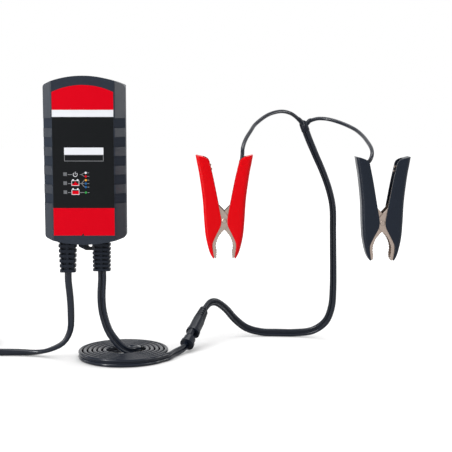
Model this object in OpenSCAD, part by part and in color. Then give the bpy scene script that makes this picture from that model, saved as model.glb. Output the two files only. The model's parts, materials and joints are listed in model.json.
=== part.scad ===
// Small car and motorcycle battery charger with leads and clips.
// Millimetres. +Z up, +X to the right of the front panel, +Y to the back.
// The origin is the centre of the hanging eye.

/* [Case] */
// Width of the case across its side strips
case_w = 63; // [60:0.5:70]
// Height of the arched top above the hanging eye
case_top = 134; // [128:1:142]
// Height of the bottom's lowest point above the hanging eye
case_bottom = 4.8; // [4.4:0.1:6]
// Radius of the arched top
top_arch_r = 75; // [60:1:110]
// Radius of the arched bottom
bottom_arch_r = 96; // [80:1:140]
// Depth of the front cover, from the parting plane to the front face
front_d = 14; // [13.5:0.5:16]
// Depth of the rear cover, from the parting plane to the back
rear_d = 24; // [23:0.5:28]
// Wall of both covers
wall = 2.2; // [1.8:0.1:2.6]
// Width of the flat front face
face_w = 48.6; // [47:0.2:50]
// Depth of the bevelled side strips
bevel_d = 8; // [6:0.5:9]
// Draw-in of the rear cover on each side
rear_draft = 1.4; // [0.5:0.1:2]
// Radius of the case's corners seen from the front
corner_r = 3; // [2:0.5:5]
// Radius of the case's long edges
edge_r = 1.2; // [0.6:0.1:1.6]

/* [Grip recesses] */
// Recesses in each side strip
grip_count = 5; // [3:1:6]
// Spacing of the recesses
grip_pitch = 14.4; // [12:0.2:16]
// Height of one recess
grip_h = 7.6; // [5:0.2:9]
// Depth of a recess
grip_depth = 0.9; // [0.4:0.1:1.1]
// Height of the lowest recess's centre
grip_low = 40.5; // [32:0.5:46]

/* [Front panel] */
// Width of the printed panel
label_w = 46.8; // [45:0.2:47]
// Height of the panel's straight bottom edge
label_bottom = 12; // [11:0.2:15]
// Height of the panel's arched top
label_top = 127; // [121:0.5:128]
// Radius of the panel's arched top
label_arch_r = 54; // [45:1:80]
// Thickness of the panel
label_t = 0.7; // [0.4:0.1:1]
// Side of a square indicator window
window_side = 2.8; // [2:0.1:4]
// Place of the windows across the panel
window_x = -14.1; // [-18:0.1:-10]
// Height of the lowest window
window_low = 45.5; // [42:0.5:54]
// Spacing of the windows
window_pitch = 6.9; // [5:0.1:9]
// Windows in the column
window_count = 3; // [1:1:4]

/* [Hanging tab] */
// Radius of the hanging eye
eye_r = 1.7; // [1.4:0.1:2]
// Thickness of the tab
tab_t = 3; // [2:0.1:4]
// Width of the tab where it leaves the case
tab_w = 19; // [16:0.5:20]
// Plastic below the eye
tab_drop = 4.2; // [3.6:0.1:5]

/* [Strain reliefs] */
// Place of the mains strain relief across the case
mains_x = -15; // [-16:0.5:-14]
// Place of the output strain relief across the case
output_x = 11.6; // [11:0.2:12]
// Width at the case
relief_w = 14.4; // [13:0.2:15]
// Width at the free end of the mains strain relief
mains_end_w = 12.2; // [11:0.2:13]
// Width at the free end of the output strain relief
output_end_w = 13.6; // [12:0.2:14.4]
// Depth from front to back
relief_d = 9; // [8:0.2:10]
// Free length of the mains strain relief below the eye
mains_relief_l = 18.4; // [14:0.1:22]
// Free length of the output strain relief below the eye
output_relief_l = 17.4; // [14:0.1:22]
// Ribs of the mains strain relief
mains_ribs = 6; // [4:1:7]
// Ribs of the output strain relief
output_ribs = 7; // [4:1:8]
// Depth of the grooves at the sides
rib_notch = 0.8; // [0.3:0.1:1.2]
// Depth of the pockets between the ribs
pocket_d = 2.4; // [1:0.1:2.6]
// Thickness of the bead that sits in the case wall
bead_t = 2; // [1.5:0.1:3]

/* [Board] */
// Clearance between the board's long edges and the case wall
board_side_gap = 2.3; // [1.5:0.1:4]
// Room between the board's lower edge and the case's lowest point
board_low_gap = 11.2; // [10:0.1:15]
// Room between the board's upper edge and the case's arched top
board_high_gap = 14; // [13:0.5:24]
// Thickness of the board
board_t = 1.6; // [1:0.1:2]
// Gap between the front wall's inside and the board
board_gap = 5.2; // [4.6:0.1:6]
// Height of the indicator diodes
led_h = 1.2; // [0.6:0.1:2]

/* [Screws] */
// Radius of the case screws
screw_r = 1.5; // [1.2:0.1:1.7]
// Radius of a case screw's head
screw_head_r = 2.8; // [2.4:0.1:3.1]
// Height of a case screw's head
screw_head_h = 2.2; // [1.6:0.1:3]
// Length of a case screw's shank
screw_l = 15; // [12:0.5:17]
// Radius of the screw bosses
boss_r = 4; // [3.8:0.1:4.4]

/* [Mains lead] */
// Width of the flat mains cord
mains_cord_w = 5.6; // [5:0.1:6]
// Thickness of the flat mains cord
mains_cord_t = 3.6; // [3:0.1:3.8]
// Turns in each layer of the put-away coil
mains_turns = 4; // [2:1:5]
// Radius of the put-away coil's middle turn
mains_coil_r = 30; // [28:0.5:33]
// Spacing of the turns
mains_turn_pitch = 4.3; // [4.2:0.1:5]
// Diameter of a plug pin
pin_d = 4; // [3.8:0.1:4.2]
// Length of a plug pin
pin_l = 19; // [17:0.5:20]
// Spacing of the plug pins
pin_spacing = 18.6; // [17.5:0.1:19]

/* [Output lead] */
// Width of the twin output cord
twin_w = 6.6; // [6:0.1:7]
// Thickness of the twin output cord
twin_t = 3.3; // [3:0.1:3.4]
// Turns of the coil on the surface
output_turns = 6; // [3:1:7]
// Inner radius of the coil
output_coil_r = 14.2; // [13:0.1:16]
// Spacing of the coil's turns
output_turn_pitch = 3.8; // [3.75:0.05:4]
// Diameter of the single leads
single_d = 3.1; // [2.8:0.1:3.1]

/* [Connector] */
// Radius of the flanges
flange_r = 5.8; // [5.6:0.1:6.4]
// Thickness of a flange
flange_t = 2.6; // [1.5:0.1:4]
// Length of the mating sleeves
sleeve_l = 7; // [6:0.5:8]
// Spacing of the two poles
pole_spacing = 5.6; // [5.4:0.1:6]
// Radius of a contact pin
contact_r = 1.2; // [1:0.1:1.4]
// Running clearance of a contact pin in its socket
contact_clearance = 0.05; // [0.02:0.01:0.09]

/* [Clips] */
// Half width of the clips from front to back
clip_half_d = 8.2; // [7.8:0.1:9]
// Wall of the insulating grips
grip_wall = 1.5; // [1.2:0.1:1.6]
// Thickness of the steel
steel_t = 1; // [0.8:0.1:1.1]
// Running gap between the two halves' side plates
plate_gap = 0.2; // [0.1:0.05:0.3]
// Radius of the pivot rivet
rivet_r = 1.5; // [1.2:0.1:1.6]
// Running clearance of the rivet in the moving half
rivet_clearance = 0.05; // [0.02:0.01:0.09]
// Radius of the spring wire
spring_wire_r = 0.6; // [0.4:0.05:0.6]
// Radius of the spring's turns at the wire's centre
spring_r = 2.8; // [2.6:0.05:3]
// Turns of the spring
spring_turns = 3; // [2:1:4]

/* [Hidden] */
$fn = 48;
cut = 0.5;                                    // overrun of a cutting solid past a face

// Case planes and half widths; the hanging tab lies flush with the back
y_back = tab_t / 2;
y_part = y_back - rear_d;
y_face = y_part - front_d;
case_half = case_w / 2;
face_half = face_w / 2;
y_inner_front = y_face + wall;
y_inner_back = y_back - wall;
y_board_front = y_inner_front + board_gap;
y_board_back = y_board_front + board_t;

// Screw places
boss_x = case_half - wall - boss_r + 0.4;
boss_low_z = case_bottom + 16.2;
boss_high_z = case_top - 16.5;
boss_places = [for (x = [-boss_x, boss_x], z = [boss_low_z, boss_high_z]) [x, z]];
screw_seat_y = y_part + 8;
board_w = case_w - 2 * wall - 2 * board_side_gap;
board_low = case_bottom + board_low_gap;
board_high = case_top - board_high_gap;
standoff_inset = 8;                           // from the board's long edges
standoff_low_z = board_low + 20;
standoff_high_z = board_high - 14;
standoff_x = board_w / 2 - standoff_inset;
standoff_places = [for (x = [-standoff_x, standoff_x], z = [standoff_low_z, standoff_high_z]) [x, z]];
standoff_r = 2.8;
board_screw_r = 1.1;
board_screw_head_r = 2.2;
board_screw_head_h = 1.5;
board_screw_depth = 4;

// Places of the board's parts
fuse_place = [-8, 31];
choke_place = [-9, 49];
rectifier_place = [14, 29];
input_capacitor_place = [-15.5, 73];
transformer_place = [9.5, 68];
output_capacitor_places = [[-3, 91.5], [9, 91.5]];

// Seal between the covers
seal_w = 1.2;
seal_h = 0.8;
seal_inset = 0.5;

// Gland heights at the bottom wall
bead_low = case_bottom + 2.4;
bead_high = bead_low + bead_t;
bead_inset = 1.5;
gland_margin = 2.4;
relief_flange_t = 1.6;

// Surface that the free leads lie on
floor_z = -89;

// ---------- Routes of the free leads: x, y, z and the heading of the thin side ----------

mains_route = [
    [mains_x, y_part, -mains_relief_l, 90], [mains_x, y_part, -26, 90], [-13.8, -22.5, -39, 90], [-13.4, -22.1, -53, 90],
    [-14.6, -21.1, -65, 90], [-20.8, -18.9, -75.4, 92], [-32, -14.5, -82.2, 100], [-43.5, -10.5, -85.7, 106],
    [-58, -8.7, -86.1, 98], [-76, -8.5, -86.1, 92], [-98, -10.1, -85.8, 86]];
drop_route = [
    [output_x, y_part, -output_relief_l, 90], [output_x, y_part, -25, 90], [10.9, -22.5, -38, 90], [11.9, -22.5, -51, 90],
    [16, -22.9, -64.6, 92], [22.4, -23.5, -74.6, 100]];
clip_route = [
    [95, 52.5, -57.5, 155], [101, 58.5, -58, 138], [109, 62.5, -64.5, 120], [117, 64.5, -74, 105],
    [127, 65, -81.8, 95], [140, 64.5, -85.3, 90], [154, 63.5, -85.6, 86],
    [169, 62.5, -85.5, 80], [184, 59.5, -83, 72], [195, 54.5, -74, 62], [199.6, 49.5, -60, 54],
    [200.4, 46.5, -44, 48], [200.2, 44.5, -27, 44], [199.8, 43.5, -10, 42], [199.5, 43.5, 7, 42],
    [199, 43.5, 26, 42], [195.8, 43.5, 41, 42], [190.4, 43.5, 56, 44], [184.4, 43.5, 69.5, 48],
    [178.8, 43.5, 82.5, 54], [175.4, 43.5, 91.4, 60]];
red_route = [
    [169.4, 41.5, 100.2, 90], [163, 38.5, 104.8, 90], [154, 30.5, 106.6, 90], [143, 18.5, 103.8, 90],
    [133, 3.5, 97, 90], [125.8, -14.5, 88.2, 90], [121.6, -30.5, 80, 90]];
black_route = [
    [179.8, 42.5, 99, 90], [186, 41.1, 100.6, 90], [194.5, 37.5, 100, 90], [204.5, 30.5, 96.9, 90],
    [214.4, 18.5, 91.4, 90], [220.8, 3.5, 84.4, 90], [222.4, -13.5, 79, 90], [219.6, -30.5, 75.4, 90]];
route_steps = 2;

// ---------- Coils, plug, connector and clip places ----------

ring_angle = 15;

// Put-away coil of the mains lead: in along the lower layer, out along the upper one
mains_centre = [-128, 25.5];
mains_coil_z = -85.2;
mains_coil_rise = mains_cord_w + 0.7;
mains_coil_far = mains_coil_r + mains_turn_pitch * mains_turns / 2;
mains_coil_near = mains_coil_far - mains_turn_pitch * mains_turns;

// Angle turned so far -> radius and height; the climb takes the half turn round the reversal
function mains_coil_radius(t) =
    t <= mains_turns * 360 ? mains_coil_far - mains_turn_pitch * t / 360
    : mains_coil_near + mains_turn_pitch * (t - mains_turns * 360) / 360;
function mains_coil_height(t) =
    let (k = min(1, max(0, (t - mains_turns * 360 + 90) / 180)))
    mains_coil_z + mains_coil_rise * k * k * (3 - 2 * k);
function mains_coil_point(t) =
    let (r = mains_coil_radius(t), a = -90 - t)
    [mains_centre[0] + r * cos(a), mains_centre[1] + r * sin(a), mains_coil_height(t)];
mains_coil_loop = [for (t = [0 : ring_angle : 2 * mains_turns * 360 - 60]) mains_coil_point(t)];
mains_coil_last = mains_coil_loop[len(mains_coil_loop) - 1];
mains_coil_in = mains_coil_loop[0] + [1.4 * mains_cord_w, 0, 0];
mains_coil_out = mains_coil_last
    + unit(mains_coil_last - mains_coil_loop[len(mains_coil_loop) - 2]) * 1.2 * mains_cord_w;

// Tie round the put-away coil
tie_w = 9;
tie_t = 0.8;
tie_gap = 0.15;

// Plug: its cord comes in at the origin and its pins point along +X
plug_place = [-119, -34.5, -82.1];
plug_heading = -120;
plug_relief_l = 18;
plug_face_x = plug_relief_l + 36;
plug_w = 35.3;
plug_t = 13.7;
plug_ribs = 5;
pin_root = 6;
pin_root_r = 1.5;
tail_route = [
    [-105.5, -14.5, -79.4, -30], [-111, -24.5, -81.2, -30], [-115.5, -28.5, -82, -30], [each plug_place, -30]];

// Coil of the output lead: a flat spiral that starts a little raised inside its first turn
output_centre = [27.7, -11.5];
output_coil_z = floor_z + twin_w / 2;
output_start_angle = -30;
output_end_angle = -24;
output_lead_in = 3.6;
output_lift = 3;
output_settle = 150;
function output_coil_point(t) =
    let (k = max(0, 1 - t / output_settle),
         r = output_coil_r + output_turn_pitch * t / 360 - output_lead_in * k * k,
         a = output_start_angle + t)
    [output_centre[0] + r * cos(a), output_centre[1] + r * sin(a), output_coil_z + output_lift * k * k];
output_coil_total = 360 * output_turns + output_end_angle - output_start_angle;
output_coil_loop = [for (t = [0 : ring_angle : output_coil_total]) output_coil_point(t)];
output_coil_last = output_coil_loop[len(output_coil_loop) - 1];
output_entry = unit(output_coil_loop[1] - output_coil_loop[0]);
output_entry_heading = atan2(output_entry[1], output_entry[0]);
output_coil_in = output_coil_loop[0] - output_entry * twin_w;
output_coil_out = output_coil_last
    + unit(output_coil_last - output_coil_loop[len(output_coil_loop) - 2]) * twin_w;

// In-line connector
connector_place = [77, 5, -83];
connector_tilt = 61.5;
connector_heading = 70;
connector_axis = [
    sin(connector_tilt) * cos(connector_heading), sin(connector_tilt) * sin(connector_heading),
    cos(connector_tilt)];
run_heading = connector_heading + 90;
half_body_l = 5;
clip_body_l = 14;
clip_tail_l = 14;
tail_ribs = 5;
sleeve_r = 2.55;
socket_r = 1.9;
contact_root = 4;
run_route = [[67.4, -13.5, -85.6, 157], [72.4, -5.1, -85.5, 159], [75.8, 1.7, -84.7, 160]];
clip_lead_start = connector_place
    + connector_axis * (flange_t + half_body_l + sleeve_l + flange_t + clip_body_l + clip_tail_l);

// Clips
red_pivot = [107.8, -41.5, 24.6];
black_pivot = [227.8, -41.5, 22.8];
red_squeeze = 0;                              // turn of each half from the drawn pose
black_squeeze = 1.3;
grip_outer = [
    [21.8, 49.8], [20.6, 43.5], [18.9, 34.5], [16.5, 16.5], [15.4, 0], [14.2, -12.2],
    [11.4, -23.6], [8.6, -28.8]];
grip_inner = [
    [7.7, -28.4], [8.3, -25], [8.9, -20], [8.5, -16.2], [6.0, -10.6], [2.8, -4], [2.3, 0], [2.7, 3.4],
    [4.9, 13.5], [8.6, 30], [12.1, 45], [13.6, 48.3], [16.5, 49.6]];
steel_inner = [
    [6.0, -27.6], [6.3, -24.2], [6.8, -20.6], [6.3, -16.6], [4.2, -11.4], [0.4, -7.2], [-2.4, -4.2],
    [-3.6, -0.5], [-2.9, 3.4], [0.3, 7.4], [5.6, 13.4], [7.4, 20], [10.2, 32], [13, 43]];
outer_plate_y = clip_half_d - grip_wall - 0.1;
inner_plate_y = outer_plate_y - steel_t - plate_gap;
rivet_head_y = outer_plate_y + 0.05;
rivet_head_r = 1.95;
rivet_head_h = 0.7;
lap = 0.1;                                    // overlap of bands that are joined to plates
crimp_mouth = [11.6, 43.6];
crimp_along = unit([1.6, 6.5]);
crimp_l = 8;
crimp_depth = 5;
crimp_r = 2.3;
spring_pitch = 2 * spring_wire_r + 0.45;
spring_leg = [13.4, 20];

// ---------- Small helpers ----------

function unit(v) = v / norm(v);
function flat_heading(a) = [cos(a), sin(a), 0];

// Catmull-Rom curve through a list of points
function spline_at(p, i, t) =
    let (a = p[max(i - 1, 0)], b = p[i], c = p[i + 1], d = p[min(i + 2, len(p) - 1)])
    0.5 * ((2 * b) + (c - a) * t + (2 * a - 5 * b + 4 * c - d) * t * t
        + (3 * b - a - 3 * c + d) * t * t * t);
function spline(p, steps) = concat(
    [for (i = [0 : len(p) - 2], s = [0 : steps - 1]) spline_at(p, i, s / steps)],
    [p[len(p) - 1]]);

// Outline of a cord's section: oval for a flat cord, two lobes for a twin
function oval_section(w, t, sides) =
    [for (k = [0 : sides - 1]) [w / 2 * cos(k * 360 / sides), t / 2 * sin(k * 360 / sides)]];
function twin_section(w, t) = [
    [w / 2, 0], [w / 2 - t / 6, t / 2 * 0.85], [w / 2 - t / 2, t / 2], [w / 2 - t * 0.85, t / 2 * 0.7],
    [0, t / 4], [-w / 2 + t * 0.85, t / 2 * 0.7], [-w / 2 + t / 2, t / 2],
    [-w / 2 + t / 6, t / 2 * 0.85],
    [-w / 2, 0], [-w / 2 + t / 2, -t / 2], [0, -t / 4], [w / 2 - t / 2, -t / 2]];

// One unbroken tube: a section carried along points; each point has the thin side's direction
module sweep(points, thins, section) {
    n = len(points);
    m = len(section);
    tangents = [for (i = [0 : n - 1]) unit(points[min(i + 1, n - 1)] - points[max(i - 1, 0)])];
    rings = [for (i = [0 : n - 1])
        let (thin = unit(thins[i] - (thins[i] * tangents[i]) * tangents[i]),
             wide = cross(thin, tangents[i]))
        for (q = section) points[i] + wide * q[0] + thin * q[1]];
    walls = [for (i = [0 : n - 2], k = [0 : m - 1])
        let (a = i * m + k, b = i * m + (k + 1) % m)
        each [[a, b + m, b], [a, a + m, b + m]]];
    start_cap = [for (k = [0 : m - 1]) [n * m, k, (k + 1) % m]];
    end_cap = [for (k = [0 : m - 1]) [n * m + 1, (n - 1) * m + (k + 1) % m, (n - 1) * m + k]];
    polyhedron(
        points = concat(rings, [points[0], points[n - 1]]),
        faces = concat(walls, start_cap, end_cap));
}

// A free lead along one of the routes
module lead(route, section) {
    curve = spline(route, route_steps);
    sweep([for (p = curve) [p[0], p[1], p[2]]], [for (p = curve) flat_heading(p[3])], section);
}

// Extrude a front view from y0 to y1
module along_y(y0, y1) {
    translate([0, y1, 0]) rotate([90, 0, 0]) linear_extrude(y1 - y0) children();
}

module rounded_rect(w, h, r) {
    offset(r = r, $fn = 24) square([w - 2 * r, h - 2 * r], center = true);
}

module each_boss() {
    for (p = boss_places) translate([p[0], 0, p[1]]) rotate([-90, 0, 0]) children();
}

module each_standoff() {
    for (p = standoff_places) translate([p[0], 0, p[1]]) rotate([-90, 0, 0]) children();
}

// A cylinder along +Y from y0 to y1, for use inside each_boss and each_standoff
module post(y0, y1, r) {
    translate([0, 0, y0]) cylinder(r = r, h = y1 - y0);
}

// ---------- Case ----------

// Front view of the case
module case_outline(inset) {
    offset(delta = -inset) offset(r = corner_r, $fn = 64) offset(delta = -corner_r)
        intersection() {
            translate([-case_half, 0]) square([case_w, case_top + 10]);
            translate([0, case_top - top_arch_r]) circle(r = top_arch_r, $fn = 180);
            translate([0, case_bottom + bottom_arch_r]) circle(r = bottom_arch_r, $fn = 220);
        }
}

// Section of the case seen from above
module case_section(inset) {
    back_chamfer = 4;
    half_back = case_half - rear_draft;
    offset(delta = -inset) offset(r = edge_r, $fn = 32) offset(delta = -edge_r)
        polygon([
            [-face_half, y_face], [face_half, y_face], [case_half, y_face + bevel_d],
            [case_half, y_part], [half_back, y_back - back_chamfer],
            [half_back - back_chamfer, y_back], [-half_back + back_chamfer, y_back],
            [-half_back, y_back - back_chamfer], [-case_half, y_part],
            [-case_half, y_face + bevel_d]]);
}

// The closed case, drawn in by an inset
module case_solid(inset) {
    intersection() {
        linear_extrude(case_top + 20) case_section(inset);
        along_y(y_face - 1, y_back + 1) case_outline(inset);
    }
}

module front_half() {
    translate([-case_w, y_face - 1, -20]) cube([2 * case_w, y_part - y_face + 1, case_top + 40]);
}

module rear_half() {
    translate([-case_w, y_part, -20]) cube([2 * case_w, y_back - y_part + 1, case_top + 40]);
}

// Everything that the strain reliefs need cut out of the case
module gland_cut(x, w) {
    translate([x, y_part, 0]) {
        translate([0, 0, -10]) linear_extrude(bead_low + 10) rounded_rect(w, relief_d, 2);
        translate([0, 0, bead_low - cut]) linear_extrude(bead_t + 2 * cut)
            rounded_rect(w - 2 * bead_inset, relief_d - 2 * bead_inset, 1.2);
        translate([0, 0, bead_high]) linear_extrude(30) rounded_rect(w, relief_d, 2);
    }
}

// Thickened seat round a strain relief
module gland_pad(x, w) {
    intersection() {
        translate([x - w / 2 - gland_margin, y_part - relief_d / 2 - gland_margin, 0])
            cube([w + 2 * gland_margin, relief_d + 2 * gland_margin, bead_high]);
        case_solid(wall / 2);
    }
}

module gland_pads() {
    gland_pad(mains_x, relief_w);
    gland_pad(output_x, relief_w);
}

module gland_cuts() {
    gland_cut(mains_x, relief_w);
    gland_cut(output_x, relief_w);
}

// Joint between the covers: a groove for the seal
module seal_ring(y0, y1) {
    difference() {
        along_y(y0, y1) case_outline(seal_inset);
        along_y(y0 - cut, y1 + cut) case_outline(seal_inset + seal_w);
        for (x = [mains_x, output_x])
            translate([x, y_part, 0]) cube([relief_w + 1.2, 10, 40], center = true);
    }
}

module label_outline(w) {
    intersection() {
        translate([-w / 2, label_bottom]) square([w, label_top]);
        union() {
            translate([0, label_top - label_arch_r]) circle(r = label_arch_r, $fn = 160);
            translate([-w / 2, label_bottom]) square([w, label_top - label_arch_r - label_bottom]);
        }
    }
}

module label_notch() {
    translate([-1, label_bottom]) polygon([[-0.9, -1], [0.9, -1], [0, 1.8]]);
}

module each_window() {
    for (i = [0 : window_count - 1])
        translate([window_x, 0, window_low + i * window_pitch]) children();
}

module window_cuts() {
    each_window()
        translate([-window_side / 2, y_face - 1, -window_side / 2])
            cube([window_side, wall + 2, window_side]);
}

module grip_cuts() {
    strip = norm([case_half - face_half, bevel_d]);
    strip_angle = atan2(bevel_d, case_half - face_half);
    for (side = [-1, 1], i = [0 : grip_count - 1])
        scale([side, 1, 1])
            translate([(face_half + case_half) / 2, y_face + bevel_d / 2, grip_low + i * grip_pitch])
                rotate([0, 0, strip_angle])
                    cube([strip + 4, 2 * grip_depth, grip_h], center = true);
}

module front_cover() color("#3a3f46") {
    difference() {
        union() {
            intersection() {
                difference() {
                    case_solid(0);
                    case_solid(wall);
                }
                front_half();
            }
            intersection() {
                union() {
                    each_boss() post(y_face, y_part, boss_r);
                    each_standoff() post(y_face, y_board_front, standoff_r);
                    gland_pads();
                }
                case_solid(wall / 2);
                front_half();
            }
        }
        grip_cuts();
        along_y(y_face - 1, y_face + label_t) label_outline(label_w);
        window_cuts();
        each_boss() post(screw_seat_y - screw_l, y_part + 1, screw_r);
        each_standoff() post(y_board_front - board_screw_depth, y_board_front + 1, board_screw_r);
        gland_cuts();
        seal_ring(y_part - seal_h / 2, y_part + 1);
    }
}

module tab_outline() {
    offset(r = 1.4, $fn = 32) offset(delta = -1.4)
        polygon([
            [-tab_w / 2, case_bottom + 4], [-tab_w / 2, -1.2], [-3.6, -tab_drop],
            [3.6, -tab_drop], [tab_w / 2, -1.2], [tab_w / 2, case_bottom + 4]]);
}

module rear_cover() color("#34393f") {
    difference() {
        union() {
            intersection() {
                difference() {
                    case_solid(0);
                    case_solid(wall);
                }
                rear_half();
            }
            intersection() {
                union() {
                    each_boss() post(y_part, y_back, boss_r);
                    gland_pads();
                }
                case_solid(wall / 2);
                rear_half();
            }
            difference() {
                along_y(-tab_t / 2, tab_t / 2) tab_outline();
                case_solid(wall / 2);
            }
        }
        rotate([90, 0, 0]) cylinder(r = eye_r, h = tab_t + 2, center = true);
        each_boss() post(y_part - 1, y_back + 1, screw_r + 0.2);
        each_boss() post(screw_seat_y, y_back + 1, screw_head_r + 0.2);
        gland_cuts();
        seal_ring(y_part - 1, y_part + seal_h / 2);
    }
}

module case_seal() color("#1c1d1f") {
    seal_ring(y_part - seal_h / 2, y_part + seal_h / 2);
}

module case_screws() color("#b8babd") {
    each_boss() {
        post(screw_seat_y - screw_l, screw_seat_y, screw_r);
        difference() {
            post(screw_seat_y, screw_seat_y + screw_head_h, screw_head_r);
            for (a = [0, 90])
                translate([0, 0, screw_seat_y + screw_head_h])
                    rotate([0, 0, a]) cube([3.2, 0.8, 2], center = true);
        }
    }
}

// ---------- Front panel and indicators ----------

module label_panel() color("#222425") {
    difference() {
        along_y(y_face, y_face + label_t) difference() {
            label_outline(label_w);
            label_notch();
        }
        window_cuts();
    }
}

module led_windows() color("#d8dcde") {
    tip = y_board_front - led_h;
    each_window()
        translate([-window_side / 2, y_face + 0.15, -window_side / 2])
            cube([window_side, tip - y_face - 0.15, window_side]);
}

module status_leds() color("#e9e4c8") {
    each_window()
        translate([-1.6, y_board_front - led_h, -0.8]) {
            cube([3.2, led_h, 1.6]);
        }
}

// ---------- Board and its parts ----------

module circuit_board() color("#2f6b46") {
    difference() {
        along_y(y_board_front, y_board_back)
            translate([0, (board_low + board_high) / 2])
                rounded_rect(board_w, board_high - board_low, 2);
        each_boss() post(y_board_front - 1, y_board_back + 1, boss_r + 0.6);
        each_standoff() post(y_board_front - 1, y_board_back + 1, board_screw_r + 0.3);
    }
}

module board_screws() color("#b8babd") {
    each_standoff() {
        post(y_board_front - board_screw_depth, y_board_back, board_screw_r);
        post(y_board_back, y_board_back + board_screw_head_h, board_screw_head_r);
    }
}

// Set a piece on the back of the board at a place [x, z]
module on_board(place) {
    translate([place[0], y_board_back, place[1]]) children();
}

// A conductor from a strain relief up to its pad on the board
wire_r = 0.9;
wire_bend = 2.6;
wire_top = board_low + 5;

module wire(x) {
    top_z = wire_top - wire_bend;
    translate([x, y_board_back + wire_bend, bead_high + relief_flange_t])
        cylinder(r = wire_r, h = top_z - bead_high - relief_flange_t, $fn = 24);
    translate([x, y_board_back, top_z]) rotate([90, 0, 90])
        rotate_extrude(angle = 90, $fn = 32) translate([wire_bend, 0]) circle(r = wire_r, $fn = 24);
}

module mains_wires() color("#8a5a2b") {
    for (side = [-1, 1]) wire(mains_x + side * 2.2);
}

module output_wires() color("#b3202a") {
    for (side = [-1, 1]) wire(output_x + side * 2.2);
}

module fuse() color("#3b2b22") {
    on_board(fuse_place) rotate([-90, 0, 0]) {
        cylinder(r = 4.2, h = 7.6);
        translate([0, 0, 7.6]) cylinder(r1 = 4.2, r2 = 3.6, h = 0.8);
    }
}

module line_choke() color("#2d3a35") {
    on_board(choke_place) {
        translate([0, 8, 0]) rotate([0, 90, 0]) rotate_extrude()
            translate([5.2, 0]) square([5.2, 6], center = true);
        translate([-6, 0, -8]) cube([12, 0.6, 16]);
    }
}

module bridge_rectifier() color("#1b1c1e") {
    on_board(rectifier_place) difference() {
        translate([-7.5, 0, -2]) cube([15, 11, 4]);
        translate([7.5, 11, -3]) rotate([0, 45, 0]) cube([3, 6, 3], center = true);
    }
}

module input_capacitor() color("#232a4a") {
    on_board(input_capacitor_place) rotate([-90, 0, 0]) {
        cylinder(r = 8, h = 2.4);
        translate([0, 0, 2.4]) cylinder(r = 7.6, h = 0.9);
        translate([0, 0, 3.3]) cylinder(r = 8, h = 16.7);
    }
}

core_w = 25;
core_h = 20;
core_d = 19;
core_leg = 5;

module transformer_core() color("#3c3b3a") {
    on_board(transformer_place) difference() {
        translate([-core_w / 2, 0, -core_h / 2]) cube([core_w, core_d, core_h]);
        for (side = [-1, 1])
            translate([side * core_w / 4, core_d / 2, 0])
                cube([core_w / 2 - core_leg * 1.2, core_d - 2 * core_leg, core_h + 2], center = true);
    }
}

module transformer_winding() color("#c9a13b") {
    inner = core_w / 4 - (core_w / 2 - core_leg * 1.2) / 2;
    outer = core_w / 4 + (core_w / 2 - core_leg * 1.2) / 2;
    on_board(transformer_place) translate([0, core_leg, 0]) difference() {
        translate([-outer, 0, -core_h / 2 - 3]) cube([2 * outer, core_d - 2 * core_leg, core_h + 6]);
        translate([-inner, -1, -core_h / 2]) cube([2 * inner, core_d, core_h]);
    }
}

module output_capacitors() color("#1f2226") {
    for (place = output_capacitor_places)
        on_board(place) rotate([-90, 0, 0]) {
            cylinder(r = 5, h = 2);
            translate([0, 0, 2]) cylinder(r = 4.7, h = 0.8);
            translate([0, 0, 2.8]) cylinder(r = 5, h = 13.2);
        }
}

sink_x = -20;
sink_low = 84;
sink_h = 18;
sink_t = 2;

module heat_sink() color("#b9bcc0") {
    on_board([sink_x, sink_low]) {
        cube([sink_t, 20, sink_h]);
        for (i = [0 : 3]) translate([-4.5, 2 + i * 5.2, 0]) cube([5, 1.2, sink_h]);
    }
}

module power_transistor() color("#17181a") {
    on_board([sink_x + sink_t, sink_low + sink_h / 2 - 5]) {
        translate([0, 3.5, 0]) cube([1.3, 15.4, 10]);
        translate([1.3, 3.5, 0]) cube([3.2, 9, 10]);
        for (i = [-1 : 1]) translate([1.3, 0, 4.6 + i * 2.5]) cube([0.6, 3.6, 0.8]);
    }
}

// ---------- Strain reliefs ----------

// Ribbed block: ribs on a core, with pockets left and right of a middle web
module strain_relief(x, free_l, end_w, ribs) {
    step = (bead_low + free_l) / (ribs + 0.5);
    rib_h = step * 0.56;
    function width_at(z) = end_w + (relief_w - end_w) * (z + free_l) / (bead_low + free_l);
    translate([x, y_part, 0]) {
        difference() {
            translate([0, 0, -free_l]) for (i = [0 : ribs])
                let (z = i * step, w = width_at(z - free_l) - 2 * rib_notch)
                translate([0, 0, z]) linear_extrude(min(step + lap, bead_low + free_l - z))
                    rounded_rect(w, relief_d - 2 * rib_notch, 1.4);
            for (i = [0 : ribs - 1], side = [-1, 1], face = [-1, 1])
                let (w = width_at(i * step - free_l) - 2 * rib_notch, pocket_w = w / 2 - 2.8)
                translate([side * (1.6 + pocket_w / 2), face * relief_d / 2,
                           i * step - free_l + rib_h + (step - rib_h) / 2])
                    cube([pocket_w, 2 * pocket_d, step - rib_h], center = true);
        }
        for (i = [0 : ribs])
            let (z = i * step - free_l, top = min(z + rib_h, bead_low))
            translate([0, 0, z]) linear_extrude(top - z)
                rounded_rect(width_at(z), relief_d, 2);
        translate([0, 0, bead_low - 0.01]) linear_extrude(bead_t + 0.02)
            rounded_rect(relief_w - 2 * bead_inset, relief_d - 2 * bead_inset, 1.2);
        translate([0, 0, bead_high]) linear_extrude(relief_flange_t)
            rounded_rect(relief_w, relief_d, 2);
    }
}

module mains_strain_relief() color("#24272d") {
    strain_relief(mains_x, mains_relief_l, mains_end_w, mains_ribs);
}

module output_strain_relief() color("#24272d") {
    strain_relief(output_x, output_relief_l, output_end_w, output_ribs);
}

// ---------- Mains lead ----------

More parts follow.
